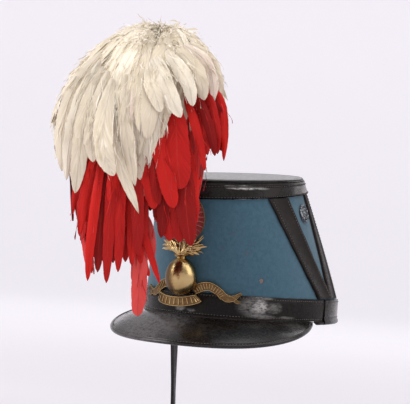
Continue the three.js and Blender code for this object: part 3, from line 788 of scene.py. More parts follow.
def peakBinding():
    end, half = peak["end"] - 9, peak["bindingThick"] / 2
    section = [(0.0, 0.7), (0.06, 0.92), (0.2, 1.0), (0.32, 0.8), (0.45, 0.98), (0.68, 0.92), (0.88, 0.66),
               (0.97, 0.3), (1.0, 0.0), (0.97, -0.3), (0.88, -0.66), (0.68, -0.92), (0.3, -1.0),
               (0.0, -0.85)]

    def place(share, depth, up):
        turn = mix(-end, end, share)
        reach = peakEdge(turn)[0]
        return onPeak(turn, reach - peak["binding"] * (1 - depth), up * half - peak["thick"] / 2)

    bm = sweep(section, counts["peak"], place)
    piece("peak_binding_leather", bm, [peakHide], "peak_leather", ["peak_binding"])


peakPiece()
peakBinding()


def wallStitches(bm, turns, share, out):
    line = []
    for turn in turns:
        level = levelAt(turn, bendHeight(turn) * share)
        line.append((onWall(turn, level, out), wallNormal(turn, level)))
    stitchLine(bm, line)


def chevronStitches(bm, side, lean, across):
    line, last = [], 40
    for i in range(last + 1):
        along = 0.02 + 0.96 * i / last
        out = chevron["gap"] + 1.02 * chevron["thick"] + lapLift(lean, along)
        here = armShare(lean, across)
        point = armAt(side, lean, here, along, out)
        line.append((point, (point - armAt(side, lean, here, along, 0)).normalized()))
    stitchLine(bm, line)


def peakStitches(bm):
    line, last = [], 140
    for i in range(last + 1):
        turn = mix(-72, 72, i / last)
        out = peakEdge(turn)[0] - peak["binding"] * 0.68
        lift = peak["bindingThick"] / 2 * 0.84 - peak["thick"] / 2
        line.append((onPeak(turn, out, lift), peakNormal(turn, out)))
    stitchLine(bm, line)


def stitches():
    bm = bmesh.new()
    front, rear, around = range(-88, 90, 2), range(92, 270, 2), range(0, 362, 2)
    proud, heavy = (body["gap"] + lowTrim[leather] * 0.98 for leather in ("leather", "rear"))
    for share in (0.105, 0.71):
        stitchLine(bm, [(onTopBand(turn, share, body["gap"] + topThick(turn) * 1.06), wallNormal(turn, 1.9))
                        for turn in around])
    wallStitches(bm, front, 0.1, proud)
    wallStitches(bm, front, 0.895, proud)
    wallStitches(bm, rear, 0.885, heavy)
    wallStitches(bm, rear, 0.16, heavy)
    for side in (1, -1):
        for lean in (-1, 1):
            for across in (0.125, 0.875):
                chevronStitches(bm, side, lean, across)
    peakStitches(bm)
    piece("stitching", bm, [waxThread], "band_leather", sharp=180)


stitches()

# side vents: a pierced roundel of blackened metal on a dark ground
vent = {"diameter": 17 * mm, "turn": 98, "drop": 16 * mm, "plate": 1.2 * mm, "petals": 6}


def ventFinish():
    metal = Finish("blackenedMetal", {"Metallic": 0.85, "Roughness": 0.42})
    place = metal.place()
    worn = metal.step(metal.cloud(place, 500, 4, 0.7), 0.45, 0.65)
    metal.feed("Base Color", metal.blend(worn, rgb(0.035, 0.042, 0.048), rgb(0.42, 0.44, 0.46)))
    metal.relief(worn, 0.15 * mm)
    return metal


blackMetal = ventFinish()


def ventPiece(side, name, node):
    radius, plate = vent["diameter"] / 2, vent["plate"]
    place = wallPlace(side * vent["turn"], topBandHeight(vent["turn"]) - vent["drop"], 0.8 * mm)

    def seat(co):
        return place @ co

    rim = [(0.72, 0.5), (0.78, 1.15), (0.86, 1.45), (0.94, 1.15), (1.0, 0.45), (0.99, 0.0), (0.0, 0.0),
           (0.0, 0.25), (0.66, 0.3)]
    boss = [(0.0, 1.5), (0.1, 1.45), (0.2, 1.1), (0.24, 0.6), (0.24, 0.2), (0, 0.2)]
    parts = [turned(rim, counts["vent"], seat, radius, plate)]
    parts.append(turned(boss, counts["boss"], seat, radius, plate))
    for i in range(vent["petals"]):
        swing = Matrix.Rotation(i / vent["petals"] * math.tau, 4, "Z")

        def petal(share, across, up):
            bow = math.sin(share * math.pi)
            reach = mix(0.18, 0.76, share) * radius
            width = radius * 0.09 * (0.6 + 0.9 * bow)
            return place @ (swing @ Vector((reach, across * width, plate * (0.55 + up * 0.3 + 0.3 * bow))))

        parts.append(sweep(roundSection(6), counts["petal"], petal))
        arc = Matrix.Rotation((i + 0.5) / vent["petals"] * math.tau, 4, "Z")

        def ringlet(share, first, second):
            angle = share * math.tau
            tube = radius * 0.035
            spot = Vector((0.5 * radius, 0, plate * 0.7))
            reach = radius * 0.13 + first * tube
            spot += Vector((math.cos(angle) * reach, math.sin(angle) * reach, second * tube))
            return place @ (arc @ spot)

        parts.append(sweep(roundSection(6), counts["ringlet"], ringlet))
    piece(name, joined(parts), [blackMetal], "vent_metal", [node])


ventPiece(1, "vent_roundel_left", "vent_left")
ventPiece(-1, "vent_roundel_right", "vent_right")

# cockade: pleated silk in rings, with a gilt edge and button
stemWire = {"diameter": 4 * mm, "out": 3.9 * mm}
cockade = {"diameter": 48 * mm, "height": 87 * mm, "thick": 4.5 * mm, "pleats": 30, "twists": 70}


def silkFinish():
    silk = Finish("pleatedSilk", {"Roughness": 0.55, "Sheen Weight": 0.4})
    reach = silk.carried("reach")
    place = silk.place()
    fray = (silk.cloud(place, 600, 3) - 0.5) * (1.5 * mm)
    radius = cockade["diameter"] / 2
    shade = silk.cloud(place, 300, 4, 0.6)
    red = silk.blend(shade, rgb(0.19, 0.012, 0.01), rgb(0.42, 0.04, 0.03))
    white = silk.blend(shade, rgb(0.5, 0.44, 0.36), rgb(0.75, 0.7, 0.6))
    blue = silk.blend(shade, rgb(0.02, 0.035, 0.08), rgb(0.05, 0.08, 0.16))
    edge = reach + fray
    colour = silk.blend(silk.step(edge, 0.3 * radius, 0.33 * radius), blue, white)
    colour = silk.blend(silk.step(edge, 0.55 * radius, 0.58 * radius), colour, red)
    silk.feed("Base Color", colour)
    silk.relief(silk.cloud(place, 1500, 2), 0.2 * mm)
    return silk


def cockadePiece():
    radius, thick, pleats = cockade["diameter"] / 2, cockade["thick"], cockade["pleats"]
    place = wallPlace(0, cockade["height"], stemWire["out"] + stemWire["diameter"] / 2 + body["gap"])
    profile = [(0, 0), (0.9, 0), (0.94, 0.12), (0.95, 0.4), (0.93, 0.6), (0.8, 0.66), (0.6, 0.72),
               (0.56, 0.6), (0.45, 0.74), (0.32, 0.8), (0.29, 0.68), (0.18, 0.84), (0, 0.84)]

    def seat(co):
        share = math.hypot(co.x, co.y) / radius
        fold = math.degrees(math.atan2(co.y, co.x)) * pleats / 360 % 1
        depth = abs(fold - 0.35) / (0.35 if fold < 0.35 else 0.65)
        dip = depth * thick * 0.42 * ease((share - 0.05) / 0.5) if co.z > thick * 0.3 else 0
        lean = math.sin(math.atan2(co.y, co.x) * 5) * 0.15 * mm
        return place @ Vector((co.x, co.y, co.z - dip + lean * share))

    silk = turned(profile, pleats * 6, seat, radius, thick)
    piece("cockade_pleats", silk, [silkFinish()], "cockade_silk", ["cockade"])

    def rim(share, first, second):
        # the gilt edge is a cord of two strands
        angle = share * math.tau
        twist = 1 + 0.18 * math.sin(angle * cockade["twists"] + math.atan2(second, first) * 2)
        reach = radius * 0.965 + first * 0.5 * mm * twist
        return place @ Vector((math.cos(angle) * reach, math.sin(angle) * reach,
                               thick * 0.42 + second * 0.7 * mm * twist))

    button = [(0, 1.0), (0.09, 0.99), (0.16, 0.93), (0.19, 0.84), (0.19, 0.75), (0, 0.75)]
    gilt = [sweep(roundSection(8), counts["gilt"], rim),
            turned(button, counts["button"], lambda co: place @ co, radius, thick)]
    piece("cockade_gilt", joined([setTarnishAndShade(bm, 0.85) for bm in gilt]), [badgeBrass], "badge_brass")


cockadePiece()

# grenade badge: ball, collar, flame and a bare scroll with ribs between raised borders. bow is how fast the
# front falls away to the sides, in a metre of depth for each square metre of width
badge = {
    "ballWidth": 28 * mm, "ballHeight": 33.4 * mm, "ballCentre": 35.6 * mm, "ballProud": 10.5 * mm,
    "back": 1.9 * mm, "flameHeight": 23 * mm, "flameWidth": 43 * mm, "span": 96 * mm, "centre": 17.5 * mm,
    "width": 8.6 * mm, "plate": 1.6 * mm, "proud": 12 * mm, "aside": 5 * mm, "swell": 0.07, "bow": 9.0,
    "tilt": 10 * mm,
}
alongDegree = math.radians(1) * body["baseWidth"] / 2  # the front's width in a degree of turn


def ballPart():
    place = wallPlace(0, badge["ballCentre"], 0)
    bm = bmesh.new()
    bmesh.ops.create_uvsphere(bm, u_segments=48, v_segments=32, radius=1)

    def seat(co):
        half = badge["ballWidth"] / 2 * (1 - badge["swell"] * co.z)
        out = max(badge["ballProud"] - co.y * half, badge["back"])
        return place @ Vector((co.x * half, co.z * badge["ballHeight"] / 2, out))

    warp(bm, seat)
    bmesh.ops.recalc_face_normals(bm, faces=bm.faces)

    def paintedShadeAndReflection(vertex):
        # painted shade below, and a painted reflection of the red feathers towards the wearer's right, both
        # as darker brass
        inward = vertex.co.y + body["baseLength"] / 2 + badge["ballProud"]
        left = -(0.88 * vertex.co.x + 0.48 * inward) / (badge["ballWidth"] / 2)
        low = (badge["ballCentre"] - vertex.co.z) / (badge["ballHeight"] / 2)
        return 0.85 * ease((left - 0.2) / 0.7) + 0.35 * ease((low - 0.35) / 0.5)

    return setTarnishAndShade(bm, paintedShadeAndReflection)


def collarPart():
    place = wallPlace(0, badge["ballCentre"] + badge["ballHeight"] / 2, 0)
    collar = badge["ballWidth"] * 0.17
    profile = [(0, -2.6), (0.9, -2.6), (1.05, -2.0), (0.85, -1.2), (0.78, -0.2), (0.9, 0.5), (1.2, 1.0),
               (1.28, 1.7), (1.15, 2.3), (0.9, 2.7), (0.9, 3.4), (0, 3.4)]

    def seat(co):
        return place @ Vector((co.x, co.z, -co.y + badge["ballProud"] * 0.9))

    return setTarnishAndShade(turned(profile, counts["button"], seat, collar, mm), 0.15)


def flameParts():
    # three layers of tongues that curl up at their tips, over a web that joins their roots
    dice = random.Random(11)
    place = wallPlace(0, badge["ballCentre"] + badge["ballHeight"] / 2, badge["ballProud"] * 0.55)
    section = [(-1, 0.1), (-0.6, 0.75), (0, 1.15), (0.6, 0.75), (1, 0.1), (0.6, -0.4), (-0.6, -0.4)]
    parts = []
    rows = []
    for layer, count, reach in ((0, 11, 1.0), (1, 9, 0.78), (2, 7, 0.55)):
        for side in (-1, 1):
            for i in range(count):
                lean = mix(5, 122, (i + 0.5) / count) + dice.uniform(-5, 5)
                rows.append((layer, side, lean, reach * dice.uniform(0.85, 1.05), dice.uniform(35, 75)))
    for layer, side, lean, reach, flick in rows:
        length = reach * mix(badge["flameHeight"] * 0.9, badge["flameWidth"] * 0.5, clamp(lean / 80))
        length *= 1.28 if side < 0 and lean > 45 else 1
        width = dice.uniform(1.7, 2.6) * mm
        tilt = dice.uniform(0, 6)

        def tongue(share, first, second):
            angle = lean * mix(0.4, 1.12, ease(share / 0.6)) - flick * ease((share - 0.5) / 0.5)
            angle = side * math.radians(angle)
            middle = side * math.radians(lean * mix(0.4, 0.85, share))
            taper = (1 - share) ** 0.45 * (0.75 + 0.5 * math.sin(math.pi * share))
            across = first * width * taper
            x = length * share * math.sin(middle) + across * math.cos(angle)
            y = length * share * math.cos(middle) - across * math.sin(angle)
            x += side * 0.18 * length * math.sin(math.pi * share) * math.cos(middle) * 0.6
            y += 0.22 * length * ease((share - 0.55) / 0.45) + math.sin(share * 9 + tilt) * share * 1.1 * mm
            wave = 0.7 * math.sin(share * 7 + tilt)
            out = (layer * 1.2 + (1 - share) * 1.6 + wave * share + second * 0.9 * taper) * mm
            return place @ Vector((x, y + 2 * mm, out - badge["bow"] * x * x))

        bm = sweep(section, counts["tongue"], tongue)
        across = bm.verts.layers.float["across"]
        parts.append(setTarnishAndShade(bm, lambda vertex: 0.15 + 0.5 * (abs(vertex[across]) > 0.9)))
    fan = [(across / 12, 0) for across in range(13)] + [(1 - across / 12, 1) for across in range(13)]

    def web(share, across, out):
        angle = math.radians(mix(-105, 105, across))
        x = mix(1, 10, share) * mm * math.sin(angle)
        y = mix(1, 9, share) * mm * math.cos(angle)
        rise = (out - 1.2) * mm * (1.1 - 0.6 * share)
        return place @ Vector((x, y + 2.5 * mm, rise - badge["bow"] * x * x))

    parts.append(setTarnishAndShade(sweep(fan, counts["web"], web), 0.85))
    return parts


# rows are the place along half the span, the height in widths and the width's share
scrollRuns = [
    {"free": True, "mirror": False, "ribs": 13,
     "rows": [(-0.42, -0.3, 0.8), (-0.36, -0.5, 0.98), (-0.2, -0.74, 1), (0, -0.82, 1), (0.2, -0.74, 1),
              (0.36, -0.5, 0.98), (0.42, -0.3, 0.8)]},
    {"free": False, "mirror": True, "ribs": 13,
     "rows": [(0.16, 0.5, 0.9), (0.3, 0.98, 0.9), (0.46, 1.12, 0.9), (0.6, 0.7, 0.9), (0.7, 0.1, 0.85)]},
    {"free": False, "mirror": True, "ribs": 0,
     "rows": [(0.69, 0.2, 0.8), (0.76, -0.02, 0.8), (0.84, 0.0, 0.62), (0.92, 0.3, 0.4), (1.0, 0.62, 0.2)]},
    {"free": False, "mirror": True, "ribs": 0,
     "rows": [(0.74, 0, 0.6), (0.86, -0.1, 0.46), (0.93, -0.36, 0.3), (0.985, -0.3, 0.2)]},
]


def scrollParts():
    half, last = badge["span"] / 2, 64
    front = wallPlace(0, badge["tilt"], 0)
    front.translation = front.translation - front.col[1].to_3d() * badge["tilt"]
    parts = []
    for run in scrollRuns:
        line = smoothThrough([Vector(row) for row in run["rows"]], last)

        def ribbon(side, share, across, out):
            at = share * last
            k = min(int(at), last - 1)
            here = line[k].lerp(line[k + 1], at - k)
            ahead = line[min(k + 1, last)] - line[max(k - 1, 0)]
            forward = Vector((ahead.x * half, ahead.y * badge["width"])).normalized()
            offset = across * here.z * badge["width"]
            x = here.x * half - forward.y * offset
            y = here.y * badge["width"] + forward.x * offset
            if run["free"]:
                # the middle stands free of the wall, in front of the ball's foot
                bow = badge["proud"] - badge["bow"] * x * x - 3 * mm * abs(x / half / 0.42) ** 6
                return front @ Vector((x - badge["aside"], badge["centre"] + y + 1 * mm,
                                       bow + badge["plate"] * max(out, -0.6)))
            depth = badge["back"] + 0.4 * mm + badge["plate"] * out if out > 0 else badge["back"] + 0.2 * mm
            return atHeight(side * x / alongDegree, badge["centre"] + y, depth)

        low = -0.6 if run["free"] else 0
        section = [(-0.5, low), (-0.5, 0.7), (-0.47, 1.0), (-0.42, 1.0), (-0.38, 0.62), (-0.2, 0.66),
                   (0, 0.68), (0.2, 0.66), (0.38, 0.62), (0.42, 1.0), (0.47, 1.0), (0.5, 0.7), (0.5, low)]
        bar = [(-0.009, 0.5), (-0.006, 1.05), (0.006, 1.05), (0.009, 0.5)]
        for side in ((1, -1) if run["mirror"] else (1,)):
            bm = sweep(section, counts["scroll"],
                       lambda share, across, out: ribbon(side, share, across, out))
            across = bm.verts.layers.float["across"]
            parts.append(setTarnishAndShade(bm, lambda vertex: 0.75 if abs(vertex[across]) < 0.4 else 0.1))
            for i in range(run["ribs"]):
                middle = (i + 0.8) / (run["ribs"] + 0.6)
                rib = sweep(bar, counts["rib"], lambda share, first, out: ribbon(
                    side, clamp(middle + first), mix(-0.3, 0.3, share), out))
                parts.append(setTarnishAndShade(rib, 0.05))
    return parts


piece("grenade_badge", joined([ballPart(), collarPart()] + flameParts() + scrollParts()), [badgeBrass],
      "badge_brass", ["badge"], sharp=50)

# chin strap: turn, height, inset in thicknesses, twist and lay as the frame's strap has them
strap = {
    "width": 10 * mm, "thick": 1.4 * mm, "turn": 96.5, "drop": 110 * mm,
    "route": [
        (-1, 0.72, 0, 0, 0), (-1, 0, 0.2, 0, 0), (-1, -0.3, 1.7, 8, 0), (-1, -0.68, 3.6, 24, 0),
        (-1, -0.92, 4.6, 26, 0), (-1, -0.985, 4.6, 26, 0), (-1, -1, 6, 26, 0), (-1, -0.985, 7.4, 26, 0),
        (-1, -0.92, 6.3, 26, 0), (-1, -0.68, 5, 24, 0), (-1, -0.3, 3.1, 8, 0), (-1, -0.036, 1.7, 0, 0),
        (-0.97, 0.34, 1.65, 0, 25), (-0.89, 0.67, 1.65, 0, 65), (-0.74, 0.77, 1, 0, 90),
        (-0.5, 0.77, 0.2, 0, 90), (-0.25, 0.77, 0.2, 0, 90), (0, 0.77, 0.2, 0, 90), (0.25, 0.77, 0.2, 0, 90),
        (0.5, 0.77, 0.2, 0, 90), (0.75, 0.77, 0.2, 0, 90), (1, 0.72, 0.2, 0, 90),
    ],
}


def strapPiece():
    inside = body["wall"] + body["gap"] + strap["thick"] / 2
    points, widths = [], []
    for turn, height, inset, twist, lay in strap["route"]:
        angle = turn * strap["turn"]
        point = onWall(angle, 0, -inside - inset * strap["thick"])
        point.z = height * (strap["drop"] if height < 0 else body["frontBand"])
        along = (wallFace(angle + 1, 0) - wallFace(angle - 1, 0)).normalized()
        width = Matrix.Rotation(math.radians(twist), 3, "Z") @ along * math.cos(math.radians(lay))
        width.z = math.sin(math.radians(lay))
        points.append(point)
        widths.append(width)
    count = counts["strap"]
    centres, sideways = smoothThrough(points, count), smoothThrough(widths, count)
    section = [(-0.5, -0.25), (-0.48, -0.45), (-0.44, -0.5), (0, -0.5), (0.44, -0.5), (0.48, -0.45),
               (0.5, -0.25), (0.5, 0.25), (0.48, 0.45), (0.44, 0.5), (0.4, 0.42), (0, 0.42), (-0.4, 0.42),
               (-0.44, 0.5), (-0.48, 0.45), (-0.5, 0.25)]

    def place(share, across, through):
        k = int(round(share * count))
        forward = (centres[min(k + 1, count)] - centres[max(k - 1, 0)]).normalized()
        width = sideways[k] - forward * sideways[k].dot(forward)
        width.normalize()
        face = width.cross(forward)
        return centres[k] + width * (across * strap["width"]) + face * (through * strap["thick"])

    piece("chin_strap_leather", sweep(section, count, place), [strapHide], "strap_leather", ["chin_strap"])


strapPiece()

# camera: aimed so that the target stands where the photograph has it
view = {"target": Vector((0, 0, 60 * mm)), "distance": 1.5, "azimuth": 28.6, "elevation": 0.9, "roll": 4.1,
        "focalPixels": 1605.0, "targetPixel": (245.4, 248.9), "size": (410, 404), "sensor": 36.0}


def direction(azimuth, elevation):
    turn, rise = math.radians(azimuth), math.radians(elevation)
    return Vector((math.sin(turn) * math.cos(rise), -math.cos(turn) * math.cos(rise), math.sin(rise)))


def viewAxes():
    # the picture's right, its up and the way back to the camera
    back, level = direction(view["azimuth"], view["elevation"]), direction(view["azimuth"] + 90, 0)
    above, roll = back.cross(level), math.radians(view["roll"])
    right = level * math.cos(roll) + above * math.sin(roll)
    return right, above * math.cos(roll) - level * math.sin(roll), back


def makeCamera():
    right, above, back = viewAxes()
    wide, tall = view["size"]
    x, y = view["targetPixel"]
    aim = Vector((x - wide / 2, tall / 2 - y, -view["focalPixels"]))
    shift = aim.rotation_difference(Vector((0, 0, -1))).to_matrix()
    turn = Matrix((right, above, back)).transposed() @ shift
    data = bpy.data.cameras.new("studioCamera")
    data.sensor_fit = "HORIZONTAL"
    data.sensor_width = view["sensor"]
    data.lens = view["focalPixels"] * view["sensor"] / wide
    data.clip_end = 50
    camera = bpy.data.objects.new("studioCamera", data)
    camera.matrix_world = Matrix.Translation(view["target"] + back * view["distance"]) @ turn.to_4x4()
    bpy.context.scene.collection.objects.link(camera)
    bpy.context.scene.camera = camera


makeCamera()

# plume: feathers lie in layers along the locks, which fall over its dome
plume = {
    "centre": Vector((-13 * mm, -179.2 * mm, 0)), "top": 246.6 * mm, "length": 243 * mm, "width": 152 * mm,
    "depth": 128 * mm, "dome": 95 * mm, "crestBack": 24 * mm,
}
# locks are the turn, the reach of the shoulder and of the tip, and how far down the tip is. A lock may add
# the size and the number of its feathers
whiteLocks = [
    (-166, 0.86, 0.8, 0.38), (-134, 0.88, 0.78, 0.5), (-104, 0.88, 0.7, 0.58), (-78, 0.89, 0.64, 0.6),
    (-52, 0.92, 0.66, 0.62), (-24, 0.95, 0.7, 0.52), (6, 0.95, 0.72, 0.56), (34, 0.95, 0.72, 0.67),
    (62, 0.93, 0.86, 0.35), (92, 0.93, 0.9, 0.32), (122, 0.94, 0.92, 0.3), (158, 0.88, 0.84, 0.32),
]
redLocks = [
    (-160, 0.7, 0.6, 0.6), (-126, 0.52, 0.34, 0.7), (-94, 0.58, 0.36, 0.8), (-64, 0.7, 0.46, 0.89),
    (-36, 0.7, 0.5, 0.89), (-8, 0.7, 0.5, 0.88), (18, 0.64, 0.46, 0.72), (84, 0.6, 0.42, 0.7),
    (60, 0.78, 0.68, 0.72), (88, 0.8, 0.72, 0.7), (112, 0.86, 0.92, 0.34, 0.8, 5),
    (138, 0.82, 0.84, 0.36, 0.8, 5), (164, 0.72, 0.64, 0.56), (-178, 0.5, 0.4, 0.66),
]


def plumePoint(turn, reach, height, lean):
    angle = math.radians(turn)
    centre = plume["centre"]
    aside = math.sin(angle) * reach * plume["width"] / 2
    ahead = math.cos(angle) * reach * plume["depth"] / 2 - lean * plume["crestBack"]
    return Vector((centre.x + aside, centre.y - ahead, height))


def lockProfile(row, crest):
    # a lock's line over the dome and down, as reach, height and lean, with the length run so far
    turn, reach, tip, fall = row
    shoulder, end = crest - plume["dome"], plume["top"] - fall * plume["length"]
    last = min(90, math.degrees(math.acos(max((end - shoulder) / plume["dome"], 0))))
    marks = []
    for share in (0.02, 0.14, 0.42, 0.7, 0.94):
        rise = math.cos(math.radians(share * last))
        marks.append(Vector((reach * math.sin(math.radians(share * last)), shoulder + plume["dome"] * rise,
                             rise ** 2)))
    marks.append(Vector((mix(reach, tip, 0.4), mix(min(shoulder, marks[4].y), end, 0.5), 0)))
    marks.append(Vector((tip, end, 0)))
    line = smoothThrough(marks, 48)
    runs = [0.0]
    for first, second in zip(line, line[1:]):
        gap = plumePoint(turn, second.x, second.y, second.z) - plumePoint(turn, first.x, first.y, first.z)
        runs.append(runs[-1] + gap.length)
    return line, runs


def profileAt(profile, distance):
    line, runs = profile
    if distance <= 0:
        return line[0]
    if distance >= runs[-1]:
        ahead = (line[-1] - line[-4]) / (runs[-1] - runs[-4])
        return line[-1] + ahead * (distance - runs[-1])
    k = max(i for i, run in enumerate(runs[:-1]) if run <= distance)
    return line[k].lerp(line[k + 1], (distance - runs[k]) / (runs[k + 1] - runs[k]))


def vane(bm, tone, spine, look, across=4, along=14):
    # spine is a list of (point, outward) from root to tip. The outline rises from the root by slim and
    # closes at the tip by blunt, and full widens what lies between
    made = bmesh.ops.create_grid(bm, x_segments=across, y_segments=along, size=0.5, calc_uvs=True)
    last = len(spine) - 1
    for vertex in made["verts"]:
        side, share = vertex.co.x * 2, 1 - (0.5 - vertex.co.y) ** 1.4
        k = min(int(share * last), last - 1)
        point = spine[k][0].lerp(spine[k + 1][0], share * last - k)
        forward = (spine[k + 1][0] - spine[k][0]).normalized()
        level = forward.cross(spine[k][1]).normalized()
        up = level.cross(forward)
        roll = math.radians(look["roll"] * (1 - 0.4 * share))
        sine, cosine = math.sin(roll), math.cos(roll)
        level, up = level * cosine + up * sine, up * cosine - level * sine
        outline = (share + 0.02) ** look["slim"] * (1.001 - share) ** look["blunt"] * look["full"]
        half = look["width"] / 2 * min(outline, 1.0)
        seed = look["shade"] * 60  # a feather's own waves
        half *= 1 + 0.14 * noise.noise(Vector((share * 8, side * 2, seed)))
        wave = noise.noise(Vector((side * 1.1 + seed, share * 4, seed))) * 2 * mm
        lift = look["lift"] + look["rootLift"] * (1 - share) ** 2 + look["tipLift"] * share ** 3
        lift -= look["camber"] * side * side * half
        bend = look["swing"] * math.sin(share * math.pi * 0.6) ** 2
        vertex.co = point + level * (side * half + bend) + up * (lift + wave)
        vertex[tone] = look["shade"]


def bedSpine(profile, root, length, turn, tipTurn, count=12):
    marks = []
    for i in range(count + 2):
        share = (i - 1) / count
        spot = profileAt(profile, root + length * share)
        angle = mix(turn, tipTurn, ease(share))
        marks.append((plumePoint(angle, spot.x, spot.y, spot.z), angle))
    spine = []
    for (before, _), (point, angle), (after, _) in zip(marks, marks[1:], marks[2:] + marks[-1:]):
        level = Vector((math.cos(math.radians(angle)), math.sin(math.radians(angle)), 0))
        spine.append((point, (after - before).cross(level).normalized()))
    return spine


def featherBed(bm, tone, rows, crest, dice, style):
    # layer 0 is the lowest and innermost
    for row in rows:
        profile = lockProfile(row[:4], crest)
        total = profile[1][-1]
        size, each = row[4:] if len(row) > 4 else (1.0, style["each"])
        for layer in range(style["layers"]):
            depth = layer / (style["layers"] - 1)
            for i in range(each):
                offset = (i + 0.5) / each * 2 - 1 + dice.uniform(-0.25, 0.25)
                turn = row[0] + offset * style["spread"] * size
                length = dice.uniform(*style["length"]) * mix(1, size, 0.5)
                tip = total * mix(1.0, style["topTip"], depth) * dice.uniform(0.93, 1.0)
                root = max(tip - length, 2 * mm)
                apart = math.radians(min(abs(turn - style["parting"]), 90))
                slope = style["partWidth"] / style["partLength"] + 0.85 * math.sin(apart)
                root = max(root, style["partWidth"] / slope)
                rootLift = style["ridge"] * clamp(1 - root / 0.05)
                tipTurn = row[0] + offset * style["spread"] * size * style["gather"] + dice.uniform(-3, 3)
                vane(bm, tone, bedSpine(profile, root, tip - root, turn, tipTurn), {
                    "width": dice.uniform(*style["width"]) * size,
                    "lift": (depth - 0.6) * style["thick"] + i % 2 * 1.2 * mm,
                    "rootLift": rootLift, "tipLift": dice.uniform(*style["flick"]),
                    "roll": dice.uniform(-20, 20), "swing": dice.uniform(-4, 4) * mm,
                    "camber": dice.uniform(0.15, 0.35), "blunt": dice.uniform(*style["blunt"]),
                    "slim": style["slim"], "full": style["full"], "shade": dice.random(),
                })


def strand(bm, tone, spine, **look):
    plain = {"lift": 0, "rootLift": 0, "camber": 0, "blunt": 0.4, "slim": 0.1, "full": 1.0}
    vane(bm, tone, spine, {**plain, **look}, 1, 6)


def strandBed(bm, tone, rows, crest, dice, style):
    # loose barbs that lie over the feathers and soften them
    for row in rows:
        profile = lockProfile(row[:4], crest)
        total = profile[1][-1]
        for i in range(style["strands"]):
            turn = row[0] + dice.uniform(-1, 1) * style["spread"]
            root = total * dice.uniform(0, style["strandReach"])
            length = min(dice.uniform(16, 44) * mm, 0.86 * total - root)
            tipTurn = mix(row[0], turn, mix(1, style["gather"], (root + length) / total))
            tipTurn += dice.uniform(-5, 5)
            turn = mix(row[0], turn, mix(1, style["gather"], root / total))
            strand(bm, tone, bedSpine(profile, root, length, turn, tipTurn, 6),
                   width=dice.uniform(0.3, 0.9) * mm,
                   lift=style["thick"] * 0.45 + dice.uniform(0.3, 2.4) * mm, rootLift=-3 * mm,
                   tipLift=dice.uniform(-2, 4) * mm, roll=dice.uniform(-40, 40),
                   swing=dice.uniform(-5, 5) * mm, shade=dice.random())


# single feathers that face the front: x and y are places in the picture, in its pixels, and depth is towards
# the viewer from the plume's middle, so that they lie on the beds
def fromPicture(x, y, depth):
    right, above, back = viewAxes()
    near = (plume["centre"] - view["target"]).dot(back) + depth
    scale = (view["distance"] - near) / view["focalPixels"]
    across, up = (x - view["targetPixel"][0]) * scale, (view["targetPixel"][1] - y) * scale
    return view["target"] + right * across + above * up + back * near


def singleFeathers(bm, tone, loose, looseTone, rows, dice, style):
    # each is given some loose barbs of its own, in the strands' piece
    facing = viewAxes()[2]
    for width, blunt, shade, marks in rows:
        line = smoothThrough([fromPicture(x, y, depth * mm) for x, y, depth in marks], 12)
        swing, chance = dice.uniform(-1, 1) * mm, dice.random()
        vane(bm, tone, [(point, facing) for point in line], {
            "width": width * mm, "lift": 0.0, "rootLift": 0.0, "tipLift": 0.0, "roll": 0, "swing": swing,
            "camber": 0.22, "blunt": blunt, "slim": style["slim"], "full": style["full"],
            "shade": chance if shade is None else shade,
        })
        aside = facing.cross(line[-1] - line[0]).normalized()
        for i in range(style["barbs"]):
            first = dice.randint(0, 7)
            offset = aside * (dice.uniform(-0.42, 0.42) * width * mm) + facing * dice.uniform(0.2, 1.6) * mm
            barb = [(point + offset, facing) for point in line[first:first + dice.randint(3, 4)]]
            strand(loose, looseTone, barb, width=dice.uniform(0.3, 0.8) * mm,
                   tipLift=dice.uniform(-1, 2) * mm, roll=dice.uniform(-30, 30),
                   swing=dice.uniform(-5, 5) * mm, shade=dice.random())


def fluffFinish(name, dark, pale):
    fluff = Finish(name, {"Roughness": 0.9, "Sheen Weight": 0.2, "Specular IOR Level": 0.15})
    fluff.feed("Base Color", fluff.blend(fluff.carried("tone"), dark, pale))
    return fluff


